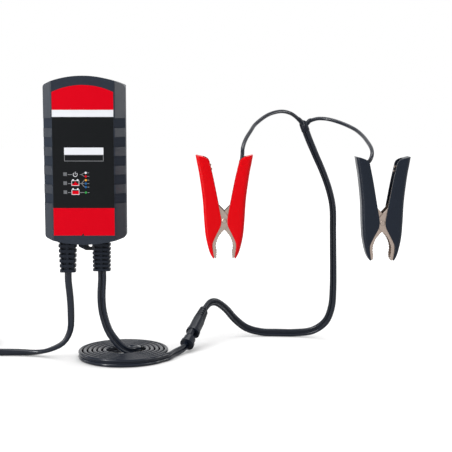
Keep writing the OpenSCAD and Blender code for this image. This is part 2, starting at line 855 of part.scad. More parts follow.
// Least distance between points of rings that are half a turn or more apart along a coil
function coil_gap(rings) =
    let (n = len(rings), m = len(rings[0]))
    min([for (i = [0 : n - 13], j = [i + 12 : n - 1])
        let (near = norm(rings[i][0] - rings[j][0]) < 9)
        near ? min([for (a = rings[i], b = rings[j]) norm(a - b)]) : 99]);

// Direction across each step of a coil that lies flat
function level_thins(points) =
    let (n = len(points))
    [for (i = [0 : n - 1])
        let (t = points[min(i + 1, n - 1)] - points[max(i - 1, 0)]) unit([-t[1], t[0], 0])];

// The coil's rings lie on edge, so their points are found from the thin direction alone
function flat_rings(points, section) =
    let (thins = level_thins(points))
    [for (i = [0 : len(points) - 1])
        [for (q = section) points[i] + [0, 0, q[0]] + thins[i] * q[1]]];

module mains_cord() color("#2b2e36") {
    lead(concat(mains_route, [[each mains_coil_in, 90]]), oval_section(mains_cord_w, mains_cord_t, 10));
}

module mains_coil() color("#2b2e36") {
    points = concat([mains_coil_in], mains_coil_loop, [mains_coil_out]);
    section = oval_section(mains_cord_w, mains_cord_t, 6);
    sweep(points, level_thins(points), section);
    echo(mains_coil_gap = coil_gap(flat_rings(points, section)));
}

module mains_tail() color("#2b2e36") {
    lead(concat([[each mains_coil_out, plug_heading + 90]], tail_route), oval_section(mains_cord_w, mains_cord_t, 10));
}

// Strap round all the turns at the back of the coil
module cord_tie() color("#1d1e20") {
    low = mains_coil_z - mains_cord_w / 2 - tie_gap;
    high = mains_coil_z + mains_coil_rise + mains_cord_w / 2 + tie_gap;
    near = mains_coil_near - mains_cord_t / 2 - tie_gap - 1;
    far = mains_coil_far + mains_cord_t / 2 + tie_gap + 1;
    translate([mains_centre[0], mains_centre[1], 0])
        rotate([90, 0, 90]) linear_extrude(tie_w, center = true) difference() {
            translate([near - tie_t, low - tie_t]) square([far - near + 2 * tie_t, high - low + 2 * tie_t]);
            translate([near, low]) square([far - near, high - low]);
        }
}

// ---------- Plug ----------

module at_plug() {
    translate(plug_place) rotate([0, 0, plug_heading]) children();
}

plug_plan = [
    [plug_relief_l, 4.6], [plug_relief_l + 4, 7], [plug_relief_l + 12, 9.4], [plug_face_x - 13, 12.6],
    [plug_face_x - 6.5, plug_w / 2], [plug_face_x, plug_w / 2]];

module plug_outline() {
    curve = spline(plug_plan, 4);
    polygon(concat(curve, [for (i = [len(curve) - 1 : -1 : 0]) [curve[i][0], -curve[i][1]]]));
}

module plug_side() {
    h = plug_t / 2;
    rear = plug_relief_l;
    polygon([
        [rear, -4.4], [rear + 9, -h], [plug_face_x, -h], [plug_face_x, -h + 4], [plug_face_x, h],
        [rear + 9, h], [rear, 4.4]]);
}

module plug_body() color("#24272d") at_plug() {
    difference() {
        intersection() {
            translate([0, 0, -plug_t]) linear_extrude(2 * plug_t) plug_outline();
            rotate([90, 0, 0]) linear_extrude(2 * plug_w, center = true) plug_side();
        }
        for (side = [-1, 1]) translate([plug_face_x - pin_root, side * pin_spacing / 2, 0])
            rotate([0, 90, 0]) cylinder(r = pin_root_r, h = pin_root + 1);
    }
    for (i = [0 : plug_ribs - 1])
        let (step = plug_relief_l / plug_ribs, grow = i / (plug_ribs - 1))
        translate([i * step, 0, 0]) rotate([90, 0, 90]) {
            linear_extrude(step * 0.6) rounded_rect(8 + 2 * grow, 6.4 + 2 * grow, 2.4);
            linear_extrude(step + 0.01) rounded_rect(6.8 + 1.6 * grow, 5 + 1.6 * grow, 1.8);
        }
}

module plug_pins() color("#c9b06a") at_plug() {
    for (side = [-1, 1]) translate([plug_face_x, side * pin_spacing / 2, 0])
        rotate([0, 90, 0]) {
            translate([0, 0, -pin_root]) cylinder(r = pin_root_r, h = pin_root + 1);
            cylinder(r = pin_d / 2, h = pin_l - 0.8);
            translate([0, 0, pin_l - 0.8]) cylinder(r1 = pin_d / 2, r2 = pin_d / 2 - 0.8, h = 0.8);
        }
}

// ---------- Output lead ----------

module output_cord_drop() color("#22252c") {
    lead(concat(drop_route, [
        [each (output_coil_in - output_entry * 5), output_entry_heading + 90],
        [each output_coil_in, output_entry_heading + 90]]), twin_section(twin_w, twin_t));
}

module output_coil() color("#22252c") {
    points = concat([output_coil_in], output_coil_loop, [output_coil_out]);
    section = oval_section(twin_w, twin_t, 6);
    sweep(points, level_thins(points), section);
    echo(output_coil_gap = coil_gap(flat_rings(points, section)));
}

module output_cord_run() color("#22252c") {
    lead(concat([[each output_coil_out, output_end_angle + 180]], run_route, [[each connector_place, run_heading]]),
        twin_section(twin_w, twin_t));
}

// ---------- In-line connector ----------
// Drawn along +Z from the charger's cord; the poles stand side by side along X.

module at_connector() {
    translate(connector_place) rotate([0, connector_tilt, connector_heading]) children();
}

face_a = flange_t + half_body_l;              // mating face of the charger's half
face_b = face_a + sleeve_l;                   // mating face of the clip lead's half
tail_b = face_b + flange_t + clip_body_l;     // root of the clip half's tail

module sleeve(z) {
    translate([0, 0, z]) difference() {
        cylinder(r = sleeve_r, h = sleeve_l);
        translate([0, 0, -1]) cylinder(r = socket_r, h = sleeve_l + 2);
    }
}

// A female tube in one pole and a pin in the other, from the given face, pointing along dir
module contacts(face, dir) {
    translate([0, 0, face]) scale([1, 1, dir]) {
        translate([-dir * pole_spacing / 2, 0, -contact_root]) difference() {
            cylinder(r = socket_r, h = contact_root + sleeve_l - 0.6);
            translate([0, 0, contact_root - 2])
                cylinder(r = contact_r + contact_clearance, h = sleeve_l + 3);
        }
        translate([dir * pole_spacing / 2, 0, -contact_root]) {
            cylinder(r = contact_r, h = contact_root + sleeve_l - 0.8);
            translate([0, 0, contact_root + sleeve_l - 0.8])
                cylinder(r1 = contact_r, r2 = contact_r - 0.6, h = 0.8);
        }
    }
}

// The blocks that carry the contacts, less the contacts' seats
module contact_seats(face, dir) {
    translate([0, 0, face]) scale([1, 1, dir]) {
        translate([-dir * pole_spacing / 2, 0, -contact_root])
            cylinder(r = socket_r, h = contact_root + 1);
        translate([dir * pole_spacing / 2, 0, -contact_root])
            cylinder(r = contact_r, h = contact_root + 1);
    }
}

module charger_connector() color("#1f2227") at_connector() {
    difference() {
        union() {
            cylinder(r = flange_r, h = flange_t);
            translate([0, 0, flange_t]) cylinder(r1 = flange_r - 0.6, r2 = flange_r - 1.2, h = 0.8);
            translate([0, 0, flange_t + 0.8]) cylinder(r = flange_r - 0.9, h = half_body_l - 0.8);
            translate([-pole_spacing / 2, 0, 0]) sleeve(face_a);
        }
        contact_seats(face_a, 1);
    }
}

module charger_contacts() color("#c9b06a") at_connector() contacts(face_a, 1);

module clip_connector() color("#1f2227") at_connector() {
    difference() {
        union() {
            translate([0, 0, face_b]) cylinder(r = flange_r, h = flange_t);
            translate([0, 0, face_b + flange_t]) linear_extrude(clip_body_l)
                rounded_rect(2 * flange_r - 1.4, 8.6, 3);
            translate([pole_spacing / 2, 0, 0]) sleeve(face_b - sleeve_l);
        }
        contact_seats(face_b, -1);
    }
    for (i = [0 : tail_ribs - 1])
        let (step = clip_tail_l / tail_ribs, shrink = i / (tail_ribs - 1))
        translate([0, 0, tail_b + i * step]) {
            linear_extrude(step * 0.6) rounded_rect(10.4 - 1.4 * shrink, 7.4 - 1.2 * shrink, 2.4);
            translate([0, 0, -0.01]) linear_extrude(step + 0.01)
                rounded_rect(9 - 1.2 * shrink, 5.8 - 1 * shrink, 2);
        }
}

module clip_contacts() color("#c9b06a") at_connector() contacts(face_b, -1);

// ---------- Clip lead ----------

module clip_lead() color("#22252c") {
    lead(concat([[each clip_lead_start, run_heading]], clip_route), twin_section(twin_w, twin_t));
}

module y_joint() color("#1f2227") {
    root = clip_route[len(clip_route) - 1];
    foot = [root[0], root[1], root[2]];
    for (way = [red_route[0], black_route[0]])
        hull() {
            translate(foot + [-0.6, 0, 1]) sphere(r = 3.5, $fn = 24);
            translate([way[0], way[1], way[2]] * 0.85 + foot * 0.15) sphere(r = 2.3, $fn = 24);
        }
}

module red_branch() color("#22252c") {
    lead(concat(red_route, branch_end(red_pivot, red_side, red_squeeze)), oval_section(single_d, single_d, 8));
}

module black_branch() color("#22252c") {
    lead(concat(black_route, branch_end(black_pivot, black_side, black_squeeze)), oval_section(single_d, single_d, 8));
}

// Last points of a single lead, inside the handle of the half that carries it
function branch_end(pivot, side, squeeze) = [
    for (q = [crimp_mouth + crimp_along * 6, crimp_mouth - crimp_along * crimp_depth])
        let (p = squeezed(q, squeeze)) [pivot[0] + side * p[0], pivot[1], pivot[2] + p[1], 90]];

// A point of a clip's half after the handles are squeezed by an angle
function squeezed(q, a) = [q[0] * cos(a) - q[1] * sin(a), q[0] * sin(a) + q[1] * cos(a)];

// ---------- Clips ----------
// Each half is drawn as the right-hand one, with its pivot at the origin and its handle up.

// The band between a line and the same line moved in by t
module edge_band(line, t) {
    curve = spline(line, 4);
    polygon(concat(curve, [for (i = [len(curve) - 1 : -1 : 0]) curve[i] - [t, 0]]));
}

module grip_profile() {
    polygon(concat(spline(grip_outer, 4), spline(grip_inner, 3)));
}

module grip_half() {
    inside = clip_half_d - grip_wall;
    along_y(inside, clip_half_d) grip_profile();
    along_y(-clip_half_d, -inside) grip_profile();
    along_y(-inside - lap, inside + lap) {
        edge_band(grip_outer, grip_wall);
        intersection() {
            grip_profile();
            translate([grip_inner[len(grip_inner) - 1][0], grip_outer[0][1] - grip_wall - 0.4]) square([10, 5]);
        }
    }
}

steel_outer = [for (i = [1 : len(grip_outer) - 1]) grip_outer[i] - [grip_wall + 0.1, 0]];

module steel_profile(hole_r) {
    difference() {
        polygon(concat(spline(steel_outer, 4), spline(steel_inner, 3)));
        circle(r = hole_r);
    }
}

// Stamped channel: two side plates, a web along the outer edge and the rib of the crimp
module jaw_half(plate_y, hole_r) {
    along_y(plate_y - steel_t, plate_y) steel_profile(hole_r);
    along_y(-plate_y, -plate_y + steel_t) steel_profile(hole_r);
    along_y(-plate_y + steel_t - lap, plate_y - steel_t + lap) edge_band(steel_outer, steel_t);
    along_y(-1.1, 1.1) polygon([
        [crimp_mouth[0] - 1.4, crimp_mouth[1] - crimp_l], steel_outer[1] - [0.5, -1],
        steel_outer[0] - [0.5, 1], crimp_mouth - [0, 0.6]]);
}

module jaw_fixed() {
    difference() {
        union() {
            jaw_half(inner_plate_y, rivet_r);
            at_crimp() cylinder(r = crimp_r, h = crimp_l);
        }
        at_crimp() translate([0, 0, crimp_l - crimp_depth]) cylinder(r = single_d / 2 + 0.05, h = crimp_depth + 4);
    }
}

// The other half has the same rib with its two empty wings
module jaw_moving() {
    jaw_half(outer_plate_y, rivet_r + rivet_clearance);
    for (k = [1.6, 4.8]) at_crimp() translate([0, 0, crimp_l - k]) rotate([90, 0, 0])
        translate([-0.3, 0, 0]) cylinder(r = 0.9, h = 2.2, center = true);
}

// From the closed end of the crimp up to its mouth
module at_crimp() {
    foot = crimp_mouth - crimp_along * crimp_l;
    translate([foot[0], 0, foot[1]]) rotate([0, atan2(crimp_along[0], crimp_along[1]), 0]) children();
}

module rivet() {
    rotate([90, 0, 0]) cylinder(r = rivet_r, h = 2 * rivet_head_y, center = true);
    for (side = [-1, 1]) translate([0, side * (rivet_head_y + rivet_head_h / 2), 0])
        rotate([90, 0, 0]) cylinder(r = rivet_head_r, h = rivet_head_h, center = true);
}

// Torsion spring: a helix round the rivet with a straight leg up each handle
module spring(squeeze) {
    leg = squeezed(spring_leg, squeeze);
    start = 180 - atan2(leg[1], leg[0]) + acos(spring_r / norm(leg));
    sweep_angle = 540 - 2 * start + 360 * spring_turns;
    steps = ceil(sweep_angle / 45);
    half_l = spring_pitch * sweep_angle / 720;
    helix = [for (i = [0 : steps])
        let (a = start + sweep_angle * i / steps)
        [spring_r * cos(a), -half_l + 2 * half_l * i / steps, spring_r * sin(a)]];
    points = concat([[-leg[0], -half_l, leg[1]]], helix, [[leg[0], half_l, leg[1]]]);
    sweep(points, [for (p = points) [0, 1, 0]], oval_section(2 * spring_wire_r, 2 * spring_wire_r, 6));
    echo(spring_gap = spring_pitch - 2 * spring_wire_r);
}

steel = "#9c9488";
red_side = 1;                                 // the red lead goes to its clip's right half
black_side = -1;                              // the black lead goes to its clip's left half

// Place a clip's half: side 1 is the right one
module clip_half(pivot, side, squeeze) {
    translate(pivot) scale([side, 1, 1]) rotate([0, -squeeze, 0]) children();
}

module red_half(side) {
    clip_half(red_pivot, side, red_squeeze) children();
}

module black_half(side) {
    clip_half(black_pivot, side, black_squeeze) children();
}

module red_grip_fixed() color("#e1000f") red_half(red_side) grip_half();
module red_grip_moving() color("#e1000f") red_half(-red_side) grip_half();
module red_jaw_fixed() color(steel) red_half(red_side) jaw_fixed();
module red_jaw_moving() color(steel) red_half(-red_side) jaw_moving();
module red_rivet() color("#c9c3b8") translate(red_pivot) rivet();
module red_spring() color("#8d8f92") translate(red_pivot) spring(red_squeeze);
module black_grip_fixed() color("#22262d") black_half(black_side) grip_half();
module black_grip_moving() color("#22262d") black_half(-black_side) grip_half();
module black_jaw_fixed() color(steel) black_half(black_side) jaw_fixed();
module black_jaw_moving() color(steel) black_half(-black_side) jaw_moving();
module black_rivet() color("#c9c3b8") translate(black_pivot) rivet();
module black_spring() color("#8d8f92") translate(black_pivot) spring(black_squeeze);

front_cover();
rear_cover();
case_seal();
case_screws();
label_panel();
led_windows();
status_leds();
circuit_board();
board_screws();
mains_wires();
output_wires();
fuse();
line_choke();
bridge_rectifier();
input_capacitor();
transformer_core();
transformer_winding();
output_capacitors();
heat_sink();
power_transistor();
mains_strain_relief();
output_strain_relief();
mains_cord();
mains_coil();
mains_tail();
cord_tie();
plug_body();
plug_pins();
output_cord_drop();
output_coil();
output_cord_run();
charger_connector();
charger_contacts();
clip_connector();
clip_contacts();
clip_lead();
y_joint();
red_branch();
black_branch();
red_jaw_fixed();
red_jaw_moving();
red_grip_fixed();
red_grip_moving();
red_rivet();
red_spring();
black_jaw_fixed();
black_jaw_moving();
black_grip_fixed();
black_grip_moving();
black_rivet();
black_spring();
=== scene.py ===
"""Dresses a small battery charger: its arched case, leads, in-line connector and two battery clips.

Sizes in the code are millimetres. +Z is up, +X to the right of the front panel and +Y to the back.
"""

import json
import math

import bmesh
import bpy
import numpy as np
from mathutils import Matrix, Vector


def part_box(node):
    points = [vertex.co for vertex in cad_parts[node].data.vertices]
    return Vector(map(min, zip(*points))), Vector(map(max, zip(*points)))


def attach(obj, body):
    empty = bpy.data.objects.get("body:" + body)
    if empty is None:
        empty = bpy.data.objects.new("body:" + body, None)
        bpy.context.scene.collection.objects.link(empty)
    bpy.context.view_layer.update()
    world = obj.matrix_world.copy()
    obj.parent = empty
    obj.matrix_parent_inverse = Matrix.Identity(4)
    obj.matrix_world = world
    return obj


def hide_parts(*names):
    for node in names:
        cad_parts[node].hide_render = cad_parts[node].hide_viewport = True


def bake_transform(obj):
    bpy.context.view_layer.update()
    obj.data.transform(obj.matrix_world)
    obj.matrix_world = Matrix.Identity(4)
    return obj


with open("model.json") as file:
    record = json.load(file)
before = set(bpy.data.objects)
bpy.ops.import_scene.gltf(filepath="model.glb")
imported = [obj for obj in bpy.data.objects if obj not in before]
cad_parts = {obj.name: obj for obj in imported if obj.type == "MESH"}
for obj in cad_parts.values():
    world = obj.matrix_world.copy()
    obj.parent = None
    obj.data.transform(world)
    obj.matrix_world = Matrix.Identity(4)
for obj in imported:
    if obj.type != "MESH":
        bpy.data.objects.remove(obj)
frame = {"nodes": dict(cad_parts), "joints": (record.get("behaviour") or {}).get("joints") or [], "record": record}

bl_info = {
    "name": "Battery charger",
    "version": (1, 0, 0),
    "blender": (4, 5, 0),
    "location": "3D View > Sidebar > Charger",
    "description": "A wall-hung battery charger with its leads, connector and battery clips",
    "category": "Add Mesh",
}

MM = 0.001
X_AXIS, Y_AXIS = np.array([1.0, 0.0, 0.0]), np.array([0.0, 1.0, 0.0])
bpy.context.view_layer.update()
JOINTS = {joint["name"]: joint for joint in frame["joints"]}
BODY_OF = {node: body for body, nodes in frame["record"]["behaviour"]["bodies"].items() for node in nodes}
SLOT_OF = {part["node"]: part["material_slot"] for part in frame["record"]["subparts"]}


def box(node):
    """Lowest and highest corner of a solid, in millimetres."""
    low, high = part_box(node)
    return np.array(low) / MM, np.array(high) / MM


# ---------- Settings ----------


def linear(code):
    """Turns an sRGB hex colour into linear red, green and blue."""
    value = np.array([int(code[i:i + 2], 16) for i in (1, 3, 5)]) / 255
    return tuple(np.where(value <= 0.04045, value / 12.92, ((value + 0.055) / 1.055) ** 2.4).tolist())


def length(name, millimetres, description):
    return bpy.props.FloatProperty(name=name, description=description, default=millimetres * MM,
                                   min=0.0, unit="LENGTH", precision=5)


def colour(name, code, description):
    return bpy.props.FloatVectorProperty(name=name, description=description, default=linear(code),
                                         min=0.0, max=1.0, size=3, subtype="COLOR")


def number(name, value, description):
    return bpy.props.FloatProperty(name=name, description=description, default=value, min=0.0)


class CaseSettings(bpy.types.PropertyGroup):
    """Sizes and colours of the case and its printed panel."""

    edge: length("Edge rounding", 0.45, "Rounding of the covers' edges")
    relief_edge: length("Rib rounding", 0.3, "Rounding of the strain reliefs' ribs")
    ink: length("Ink step", 0.03, "Height of the printed areas over the film")
    line: length("Line width", 0.32, "Width of the thin printed lines")
    front: colour("Front cover", "#1c232e", "Plastic of the front cover")
    rear: colour("Rear cover", "#1a202a", "Plastic of the rear cover")
    recess: colour("Grip recess", "#1b222d", "Coarser plastic in the grip recesses")
    black_ink: colour("Black ink", "#0e1012", "Ground of the panel")
    red_ink: colour("Red ink", "#c30015", "Blocks at the panel's top and bottom")
    white_ink: colour("White ink", "#d3d5da", "Strip, box and signs")


class LeadSettings(bpy.types.PropertyGroup):
    """Sizes and colour of the leads."""

    mains_width: length("Mains width", 5.6, "Width of the flat mains cord")
    mains_thickness: length("Mains thickness", 3.6, "Thickness of the flat mains cord")
    twin_width: length("Twin width", 6.6, "Width of the twin cord over both cores")
    twin_thickness: length("Twin thickness", 3.0, "Thickness of the twin cord")
    single: length("Single diameter", 3.1, "Diameter of the leads to the clips")
    neck: number("Neck angle", 171.0, "Angle over which each lobe is round before it meets the neck, degrees")
    sheath: colour("Sheath", "#131924", "Plastic sheath of all leads")


class ClipSettings(bpy.types.PropertyGroup):
    """Sizes and colours of the battery clips."""

    wall: length("Cover wall", 1.5, "Wall of the dipped handle covers")
    corner: length("Cover corner", 2.8, "Rounding of the covers along their backs")
    dome: length("Cover dome", 0.5, "Fall of a cover's side towards its open edge")
    tooth: length("Tooth depth", 0.55, "Depth of the jaws' teeth")
    tooth_pitch: length("Tooth spacing", 2.1, "Spacing of the jaws' teeth")
    red: colour("Red cover", "#cb000a", "Cover of the positive clip")
    black: colour("Black cover", "#191f29", "Cover of the negative clip")
    steel: colour("Steel", "#a3948a", "Plated steel of the jaws")


class StageSettings(bpy.types.PropertyGroup):
    """Lamps of the studio."""

    key: number("Key lamp", 12.0, "Power of the large lamp at the front left, watts")
    fill: number("Fill lamp", 6.3, "Power of the lamp at the front right, watts")
    top: number("Top lamp", 8.0, "Power of the lamp over the object, watts")
    left: number("Left lamp", 1.5, "Power of the tall lamp at the left, watts")
    right: number("Right lamp", 4.0, "Power of the tall lamp at the right, watts")
    streak: number("Front left lamp", 16.0, "Power of the narrow lamp that draws lines on the leads, watts")
    sky: number("Surroundings", 0.2, "Brightness of the white surroundings as surfaces see them")


def settings(group):
    return getattr(bpy.context.scene, "charger_" + group)


# ---------- Materials ----------


def add_node(tree, kind, values=None, links=None):
    """Adds a node, sets its inputs by name or number and its properties, and links what feeds it."""
    made = tree.nodes.new(kind)
    for key, value in (values or {}).items():
        if isinstance(key, int) or key in made.inputs:
            made.inputs[key].default_value = value
        else:
            setattr(made, key, value)
    for key, source in (links or {}).items():
        tree.links.new(source, made.inputs[key])
    return made


def empty_material(name):
    made = bpy.data.materials.new(name)
    made.use_nodes = True
    made.node_tree.nodes.clear()
    return made


def finish(name, tint, roughness, metallic=0.0, specular=0.5, coat=0.0, grain=None, depth=0.01,
           wear=0.0, patch=12.0, shade=0.0, stretch=(1, 1, 1), glass=0.0):
    """A surface with its own grain and handling marks.

    grain is the size of its bumps and depth their height, both in millimetres, and stretch draws them
    out along an axis. wear moves the roughness up and down over patches of the size patch, and shade
    darkens the colour with them.
    """
    made = empty_material(name)
    tree = made.node_tree
    base = (*tint, 1.0)
    values = {"Base Color": base, "Metallic": metallic, "Roughness": roughness,
              "Coat Weight": coat, "Coat Roughness": 0.1, "Transmission Weight": glass}
    if not metallic:
        values["Specular IOR Level"] = specular
    links = {}
    place = add_node(tree, "ShaderNodeTexCoord").outputs["Object"]
    if grain:
        drawn = add_node(tree, "ShaderNodeMapping", {"Scale": stretch}, {"Vector": place})
        bumps = add_node(tree, "ShaderNodeTexNoise",
                         {"Scale": 1 / (grain * MM), "Detail": 2.0, "Roughness": 0.5},
                         {"Vector": drawn.outputs["Vector"]})
        links["Normal"] = add_node(tree, "ShaderNodeBump", {"Strength": 0.5, "Distance": depth * MM},
                                   {"Height": bumps.outputs["Fac"]}).outputs["Normal"]
    if wear or shade:
        patches = add_node(tree, "ShaderNodeTexNoise",
                           {"Scale": 1 / (patch * MM), "Detail": 3.0}, {"Vector": place}).outputs["Fac"]
    if wear:
        links["Roughness"] = add_node(
            tree, "ShaderNodeMapRange", {"To Min": roughness - wear, "To Max": roughness + wear},
            {"Value": patches}).outputs["Result"]
    if shade:
        darker = (*(channel * (1 - shade) for channel in base[:3]), 1.0)
        links["Base Color"] = add_node(
            tree, "ShaderNodeMix", {"data_type": "RGBA", 6: darker, 7: base},
            {"Factor": patches}).outputs[2]
    shader = add_node(tree, "ShaderNodeBsdfPrincipled", values, links)
    add_node(tree, "ShaderNodeOutputMaterial", {}, {"Surface": shader.outputs["BSDF"]})
    return made


# The comment over each says what the real one is and what that gives the eye. The grain of moulded
# plastic, ferrite and plated metal is too fine to show, so it is drawn as coarse as it needs to be.
FINISHES = {
    # Moulded ABS from a spark-eroded tool: an even low sheen with a faint grain
    "case_front": ("ABS, spark textured", ("case", "front"), 0.34,
                   {"specular": 0.2, "grain": 0.5, "depth": 0.03, "wear": 0.04, "shade": 0.12}),
    # The same ABS, a little darker and flatter
    "case_rear": ("ABS, spark textured, rear", ("case", "rear"), 0.42,
                  {"specular": 0.2, "grain": 0.5, "depth": 0.03, "wear": 0.04, "shade": 0.12}),
    # The same ABS with the coarse matt texture of the grip recesses
    "grip_recess": ("ABS, coarse texture", ("case", "recess"), 0.6,
                    {"specular": 0.1, "grain": 0.8, "depth": 0.08}),
    # Foamed rubber cord: matt black
    "seal": ("EPDM seal", "#141415", 0.8, {"grain": 0.4, "depth": 0.04}),
    # Zinc-plated steel: pale, softly bright, with faint patches
    "screw_steel": ("Zinc-plated steel", "#b9bbbe", 0.28,
                    {"metallic": 1.0, "grain": 0.3, "depth": 0.004, "wear": 0.06, "patch": 2}),
    # Black ink under polycarbonate film: deep and even
    "panel_film": ("Polycarbonate film, black ink", ("case", "black_ink"), 0.35,
                   {"specular": 0.08, "wear": 0.03}),
    # Red ink under the film: full colour, little gloss
    "red_ink": ("Polycarbonate film, red ink", ("case", "red_ink"), 0.4, {"specular": 0.05, "wear": 0.03}),
    # White ink under the film
    "white_ink": ("Polycarbonate film, white ink", ("case", "white_ink"), 0.4,
                  {"specular": 0.2, "wear": 0.02}),
    # Smoked acrylic light pipe over a diode: grey, clear and polished
    "window": ("Smoked acrylic", "#6f7276", 0.15,
               {"specular": 0.4, "glass": 0.3, "wear": 0.04, "patch": 1}),
    # Epoxy over a yellow phosphor
    "diode": ("Epoxy over phosphor", "#e8dfb8", 0.25, {"wear": 0.04, "patch": 1}),
    # Green solder mask on glass fibre: the weave just shows through
    "board": ("Solder mask on glass fibre", "#1c5f3a", 0.35,
              {"grain": 0.6, "depth": 0.02, "wear": 0.05, "shade": 0.2}),
    # Extruded PVC insulation, brown and red
    "brown_wire": ("PVC insulation, brown", "#6e421f", 0.4, {"wear": 0.05, "patch": 3}),
    "red_wire": ("PVC insulation, red", "#a01a20", 0.4, {"wear": 0.05, "patch": 3}),
    # Moulded epoxy of fuses and semiconductors
    "component_black": ("Moulded epoxy", "#1b1c1e", 0.5, {"grain": 0.3, "depth": 0.02}),
    # Varnished core and winding: glossy and uneven
    "choke_body": ("Varnished choke", "#2d3a35", 0.35,
                   {"coat": 0.3, "grain": 0.8, "depth": 0.08, "shade": 0.3}),
    # Heat-shrunk polyester sleeve
    "capacitor_sleeve": ("Polyester sleeve", "#232a4a", 0.28, {"wear": 0.05, "patch": 4}),
    # Sintered ferrite: dark grey and dull
    "ferrite": ("Sintered ferrite", "#3c3b3a", 0.6, {"grain": 0.25, "depth": 0.03, "shade": 0.2}),
    # Polyester tape over copper winding: amber, with the turns drawn through
    "winding": ("Polyester winding tape", "#c08f28", 0.3,
                {"coat": 0.2, "grain": 1.2, "depth": 0.08, "stretch": (0.2, 1, 1), "shade": 0.25}),
    # Extruded aluminium with its die lines along the height
    "heat_sink_aluminium": ("Extruded aluminium", "#b8bcc2", 0.38,
                            {"metallic": 1.0, "grain": 0.3, "depth": 0.01, "stretch": (1, 1, 0.03),
                             "wear": 0.05}),
    # Soft moulded PVC of strain reliefs and plug: satin black
    "relief_rubber": ("Moulded soft PVC", "#161b24", 0.38,
                      {"specular": 0.12, "grain": 0.6, "depth": 0.02, "wear": 0.05}),
    # Extruded PVC sheath: black with a waxy sheen that runs along the cord
    "cord_black": ("Extruded PVC sheath", ("leads", "sheath"), 0.2, {"specular": 0.24, "wear": 0.02}),
    # Woven nylon strap: matt, with a fine weave
    "tie_strap": ("Woven nylon strap", "#16181b", 0.65, {"specular": 0.3, "grain": 0.45, "depth": 0.12}),
    # Turned brass pins, lightly tarnished
    "contact_brass": ("Turned brass", "#c9b06a", 0.24,
                      {"metallic": 1.0, "wear": 0.06, "patch": 3, "shade": 0.15}),
    # Harder moulded PVC of the connector and of the fork: a soft gloss
    "connector_black": ("Moulded hard PVC", "#121721", 0.3,
                        {"specular": 0.18, "grain": 0.5, "depth": 0.015, "wear": 0.04}),
    # Stamped steel under warm nickel plate, with rolling marks and handling wear
    "jaw_steel": ("Nickel-plated steel", ("clips", "steel"), 0.3,
                  {"metallic": 1.0, "grain": 0.5, "depth": 0.01, "stretch": (1, 1, 0.25), "wear": 0.1,
                   "patch": 4, "shade": 0.2}),
    # Drawn spring wire, lightly oiled
    "spring_steel": ("Drawn spring wire", "#8d8f92", 0.3, {"metallic": 1.0, "wear": 0.06, "patch": 2}),
    # Dipped PVC: full colour under a glossy skin
    "grip_red": ("Dipped PVC, red", ("clips", "red"), 0.3, {"specular": 0.1, "wear": 0.05}),
    "grip_black": ("Dipped PVC, black", ("clips", "black"), 0.32, {"specular": 0.12, "wear": 0.05}),
}
# Inks of the small signs
SMALL_INKS = {"grey": "#85878a", "amber": "#cf9128", "blue": "#14558f", "green": "#298f3f"}
FINISHES.update({f"{ink}_ink": (f"Polycarbonate film, {ink} ink", code, 0.4,
                                {"specular": 0.2, "wear": 0.02}) for ink, code in SMALL_INKS.items()})
MADE = {}


def material(key):
    """The material of that key, made on its first use."""
    if key not in MADE:
        name, tint, roughness, more = FINISHES[key]
        tint = linear(tint) if isinstance(tint, str) else getattr(settings(tint[0]), tint[1])
        MADE[key] = finish(name, tint, roughness, **more)
    return MADE[key]


# ---------- Meshes ----------


def put_mesh(name, shell, finish_key, body, angle=35.0, replaces=()):
    """Makes a closed mesh from a shell of points and faces, faces it outwards, gives it the finish's material and
    puts it on its body."""
    points, faces = shell
    mesh = bpy.data.meshes.new(name)
    mesh.from_pydata((np.asarray(points, float) * MM).tolist(), [], faces)
    tidy_mesh(mesh, merge=1e-7, outwards=True)
    mesh.shade_smooth()
    mesh.set_sharp_from_angle(angle=math.radians(angle))
    mesh.materials.append(material(finish_key))
    return put_object(name, mesh, body, replaces)


def put_object(name, mesh, body, replaces):
    made = bpy.data.objects.new(name, mesh)
    bpy.context.scene.collection.objects.link(made)
    if body:
        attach(made, body)
    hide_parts(*replaces)
    return made


def tidy_mesh(mesh, merge, outwards=False, flatten=None):
    """Merges points that coincide, and faces that lie in one plane where flatten gives an angle."""
    work = bmesh.new()
    work.from_mesh(mesh)
    bmesh.ops.remove_doubles(work, verts=work.verts, dist=merge)
    if flatten:
        bmesh.ops.dissolve_limit(work, angle_limit=math.radians(flatten), verts=work.verts,
                                 edges=work.edges)
    if outwards:
        bmesh.ops.recalc_face_normals(work, faces=work.faces)
    work.to_mesh(mesh)
    work.free()


def soft_copy(node, name, rounding, segments=2):
    """A copy of a solid with its facets merged and its edges rounded, which stands for it."""
    mesh = frame["nodes"][node].data.copy()
    mesh.name = name
    tidy_mesh(mesh, merge=2e-6, flatten=0.6)
    mesh.materials.clear()
    mesh.materials.append(material(SLOT_OF[node]))
    mesh.shade_smooth()
    made = put_object(name, mesh, BODY_OF[node], (node,))
    return round_edges(made, rounding, segments)


def round_edges(piece, rounding, segments=2, angle=32.0):
    """Rounds a piece's sharp edges to a width in metres, and keeps its flat faces evenly shaded."""
    bevel = piece.modifiers.new("Rounded edges", "BEVEL")
    bevel.width = rounding
    bevel.segments = segments
    bevel.limit_method = "ANGLE"
    bevel.angle_limit = math.radians(angle)
    piece.modifiers.new("Even shading", "WEIGHTED_NORMAL").keep_sharp = True
    return piece


def keep_solid(*nodes):
    """Gives solids that stay as they are their real material."""
    for node in nodes:
        solid = frame["nodes"][node]
        solid.data.materials.clear()
        solid.data.materials.append(material(SLOT_OF[node]))


def vectors(items, name):
    """One vector of every vertex or face of a mesh, as rows."""
    values = np.empty(3 * len(items))
    items.foreach_get(name, values)
    return values.reshape(-1, 3)


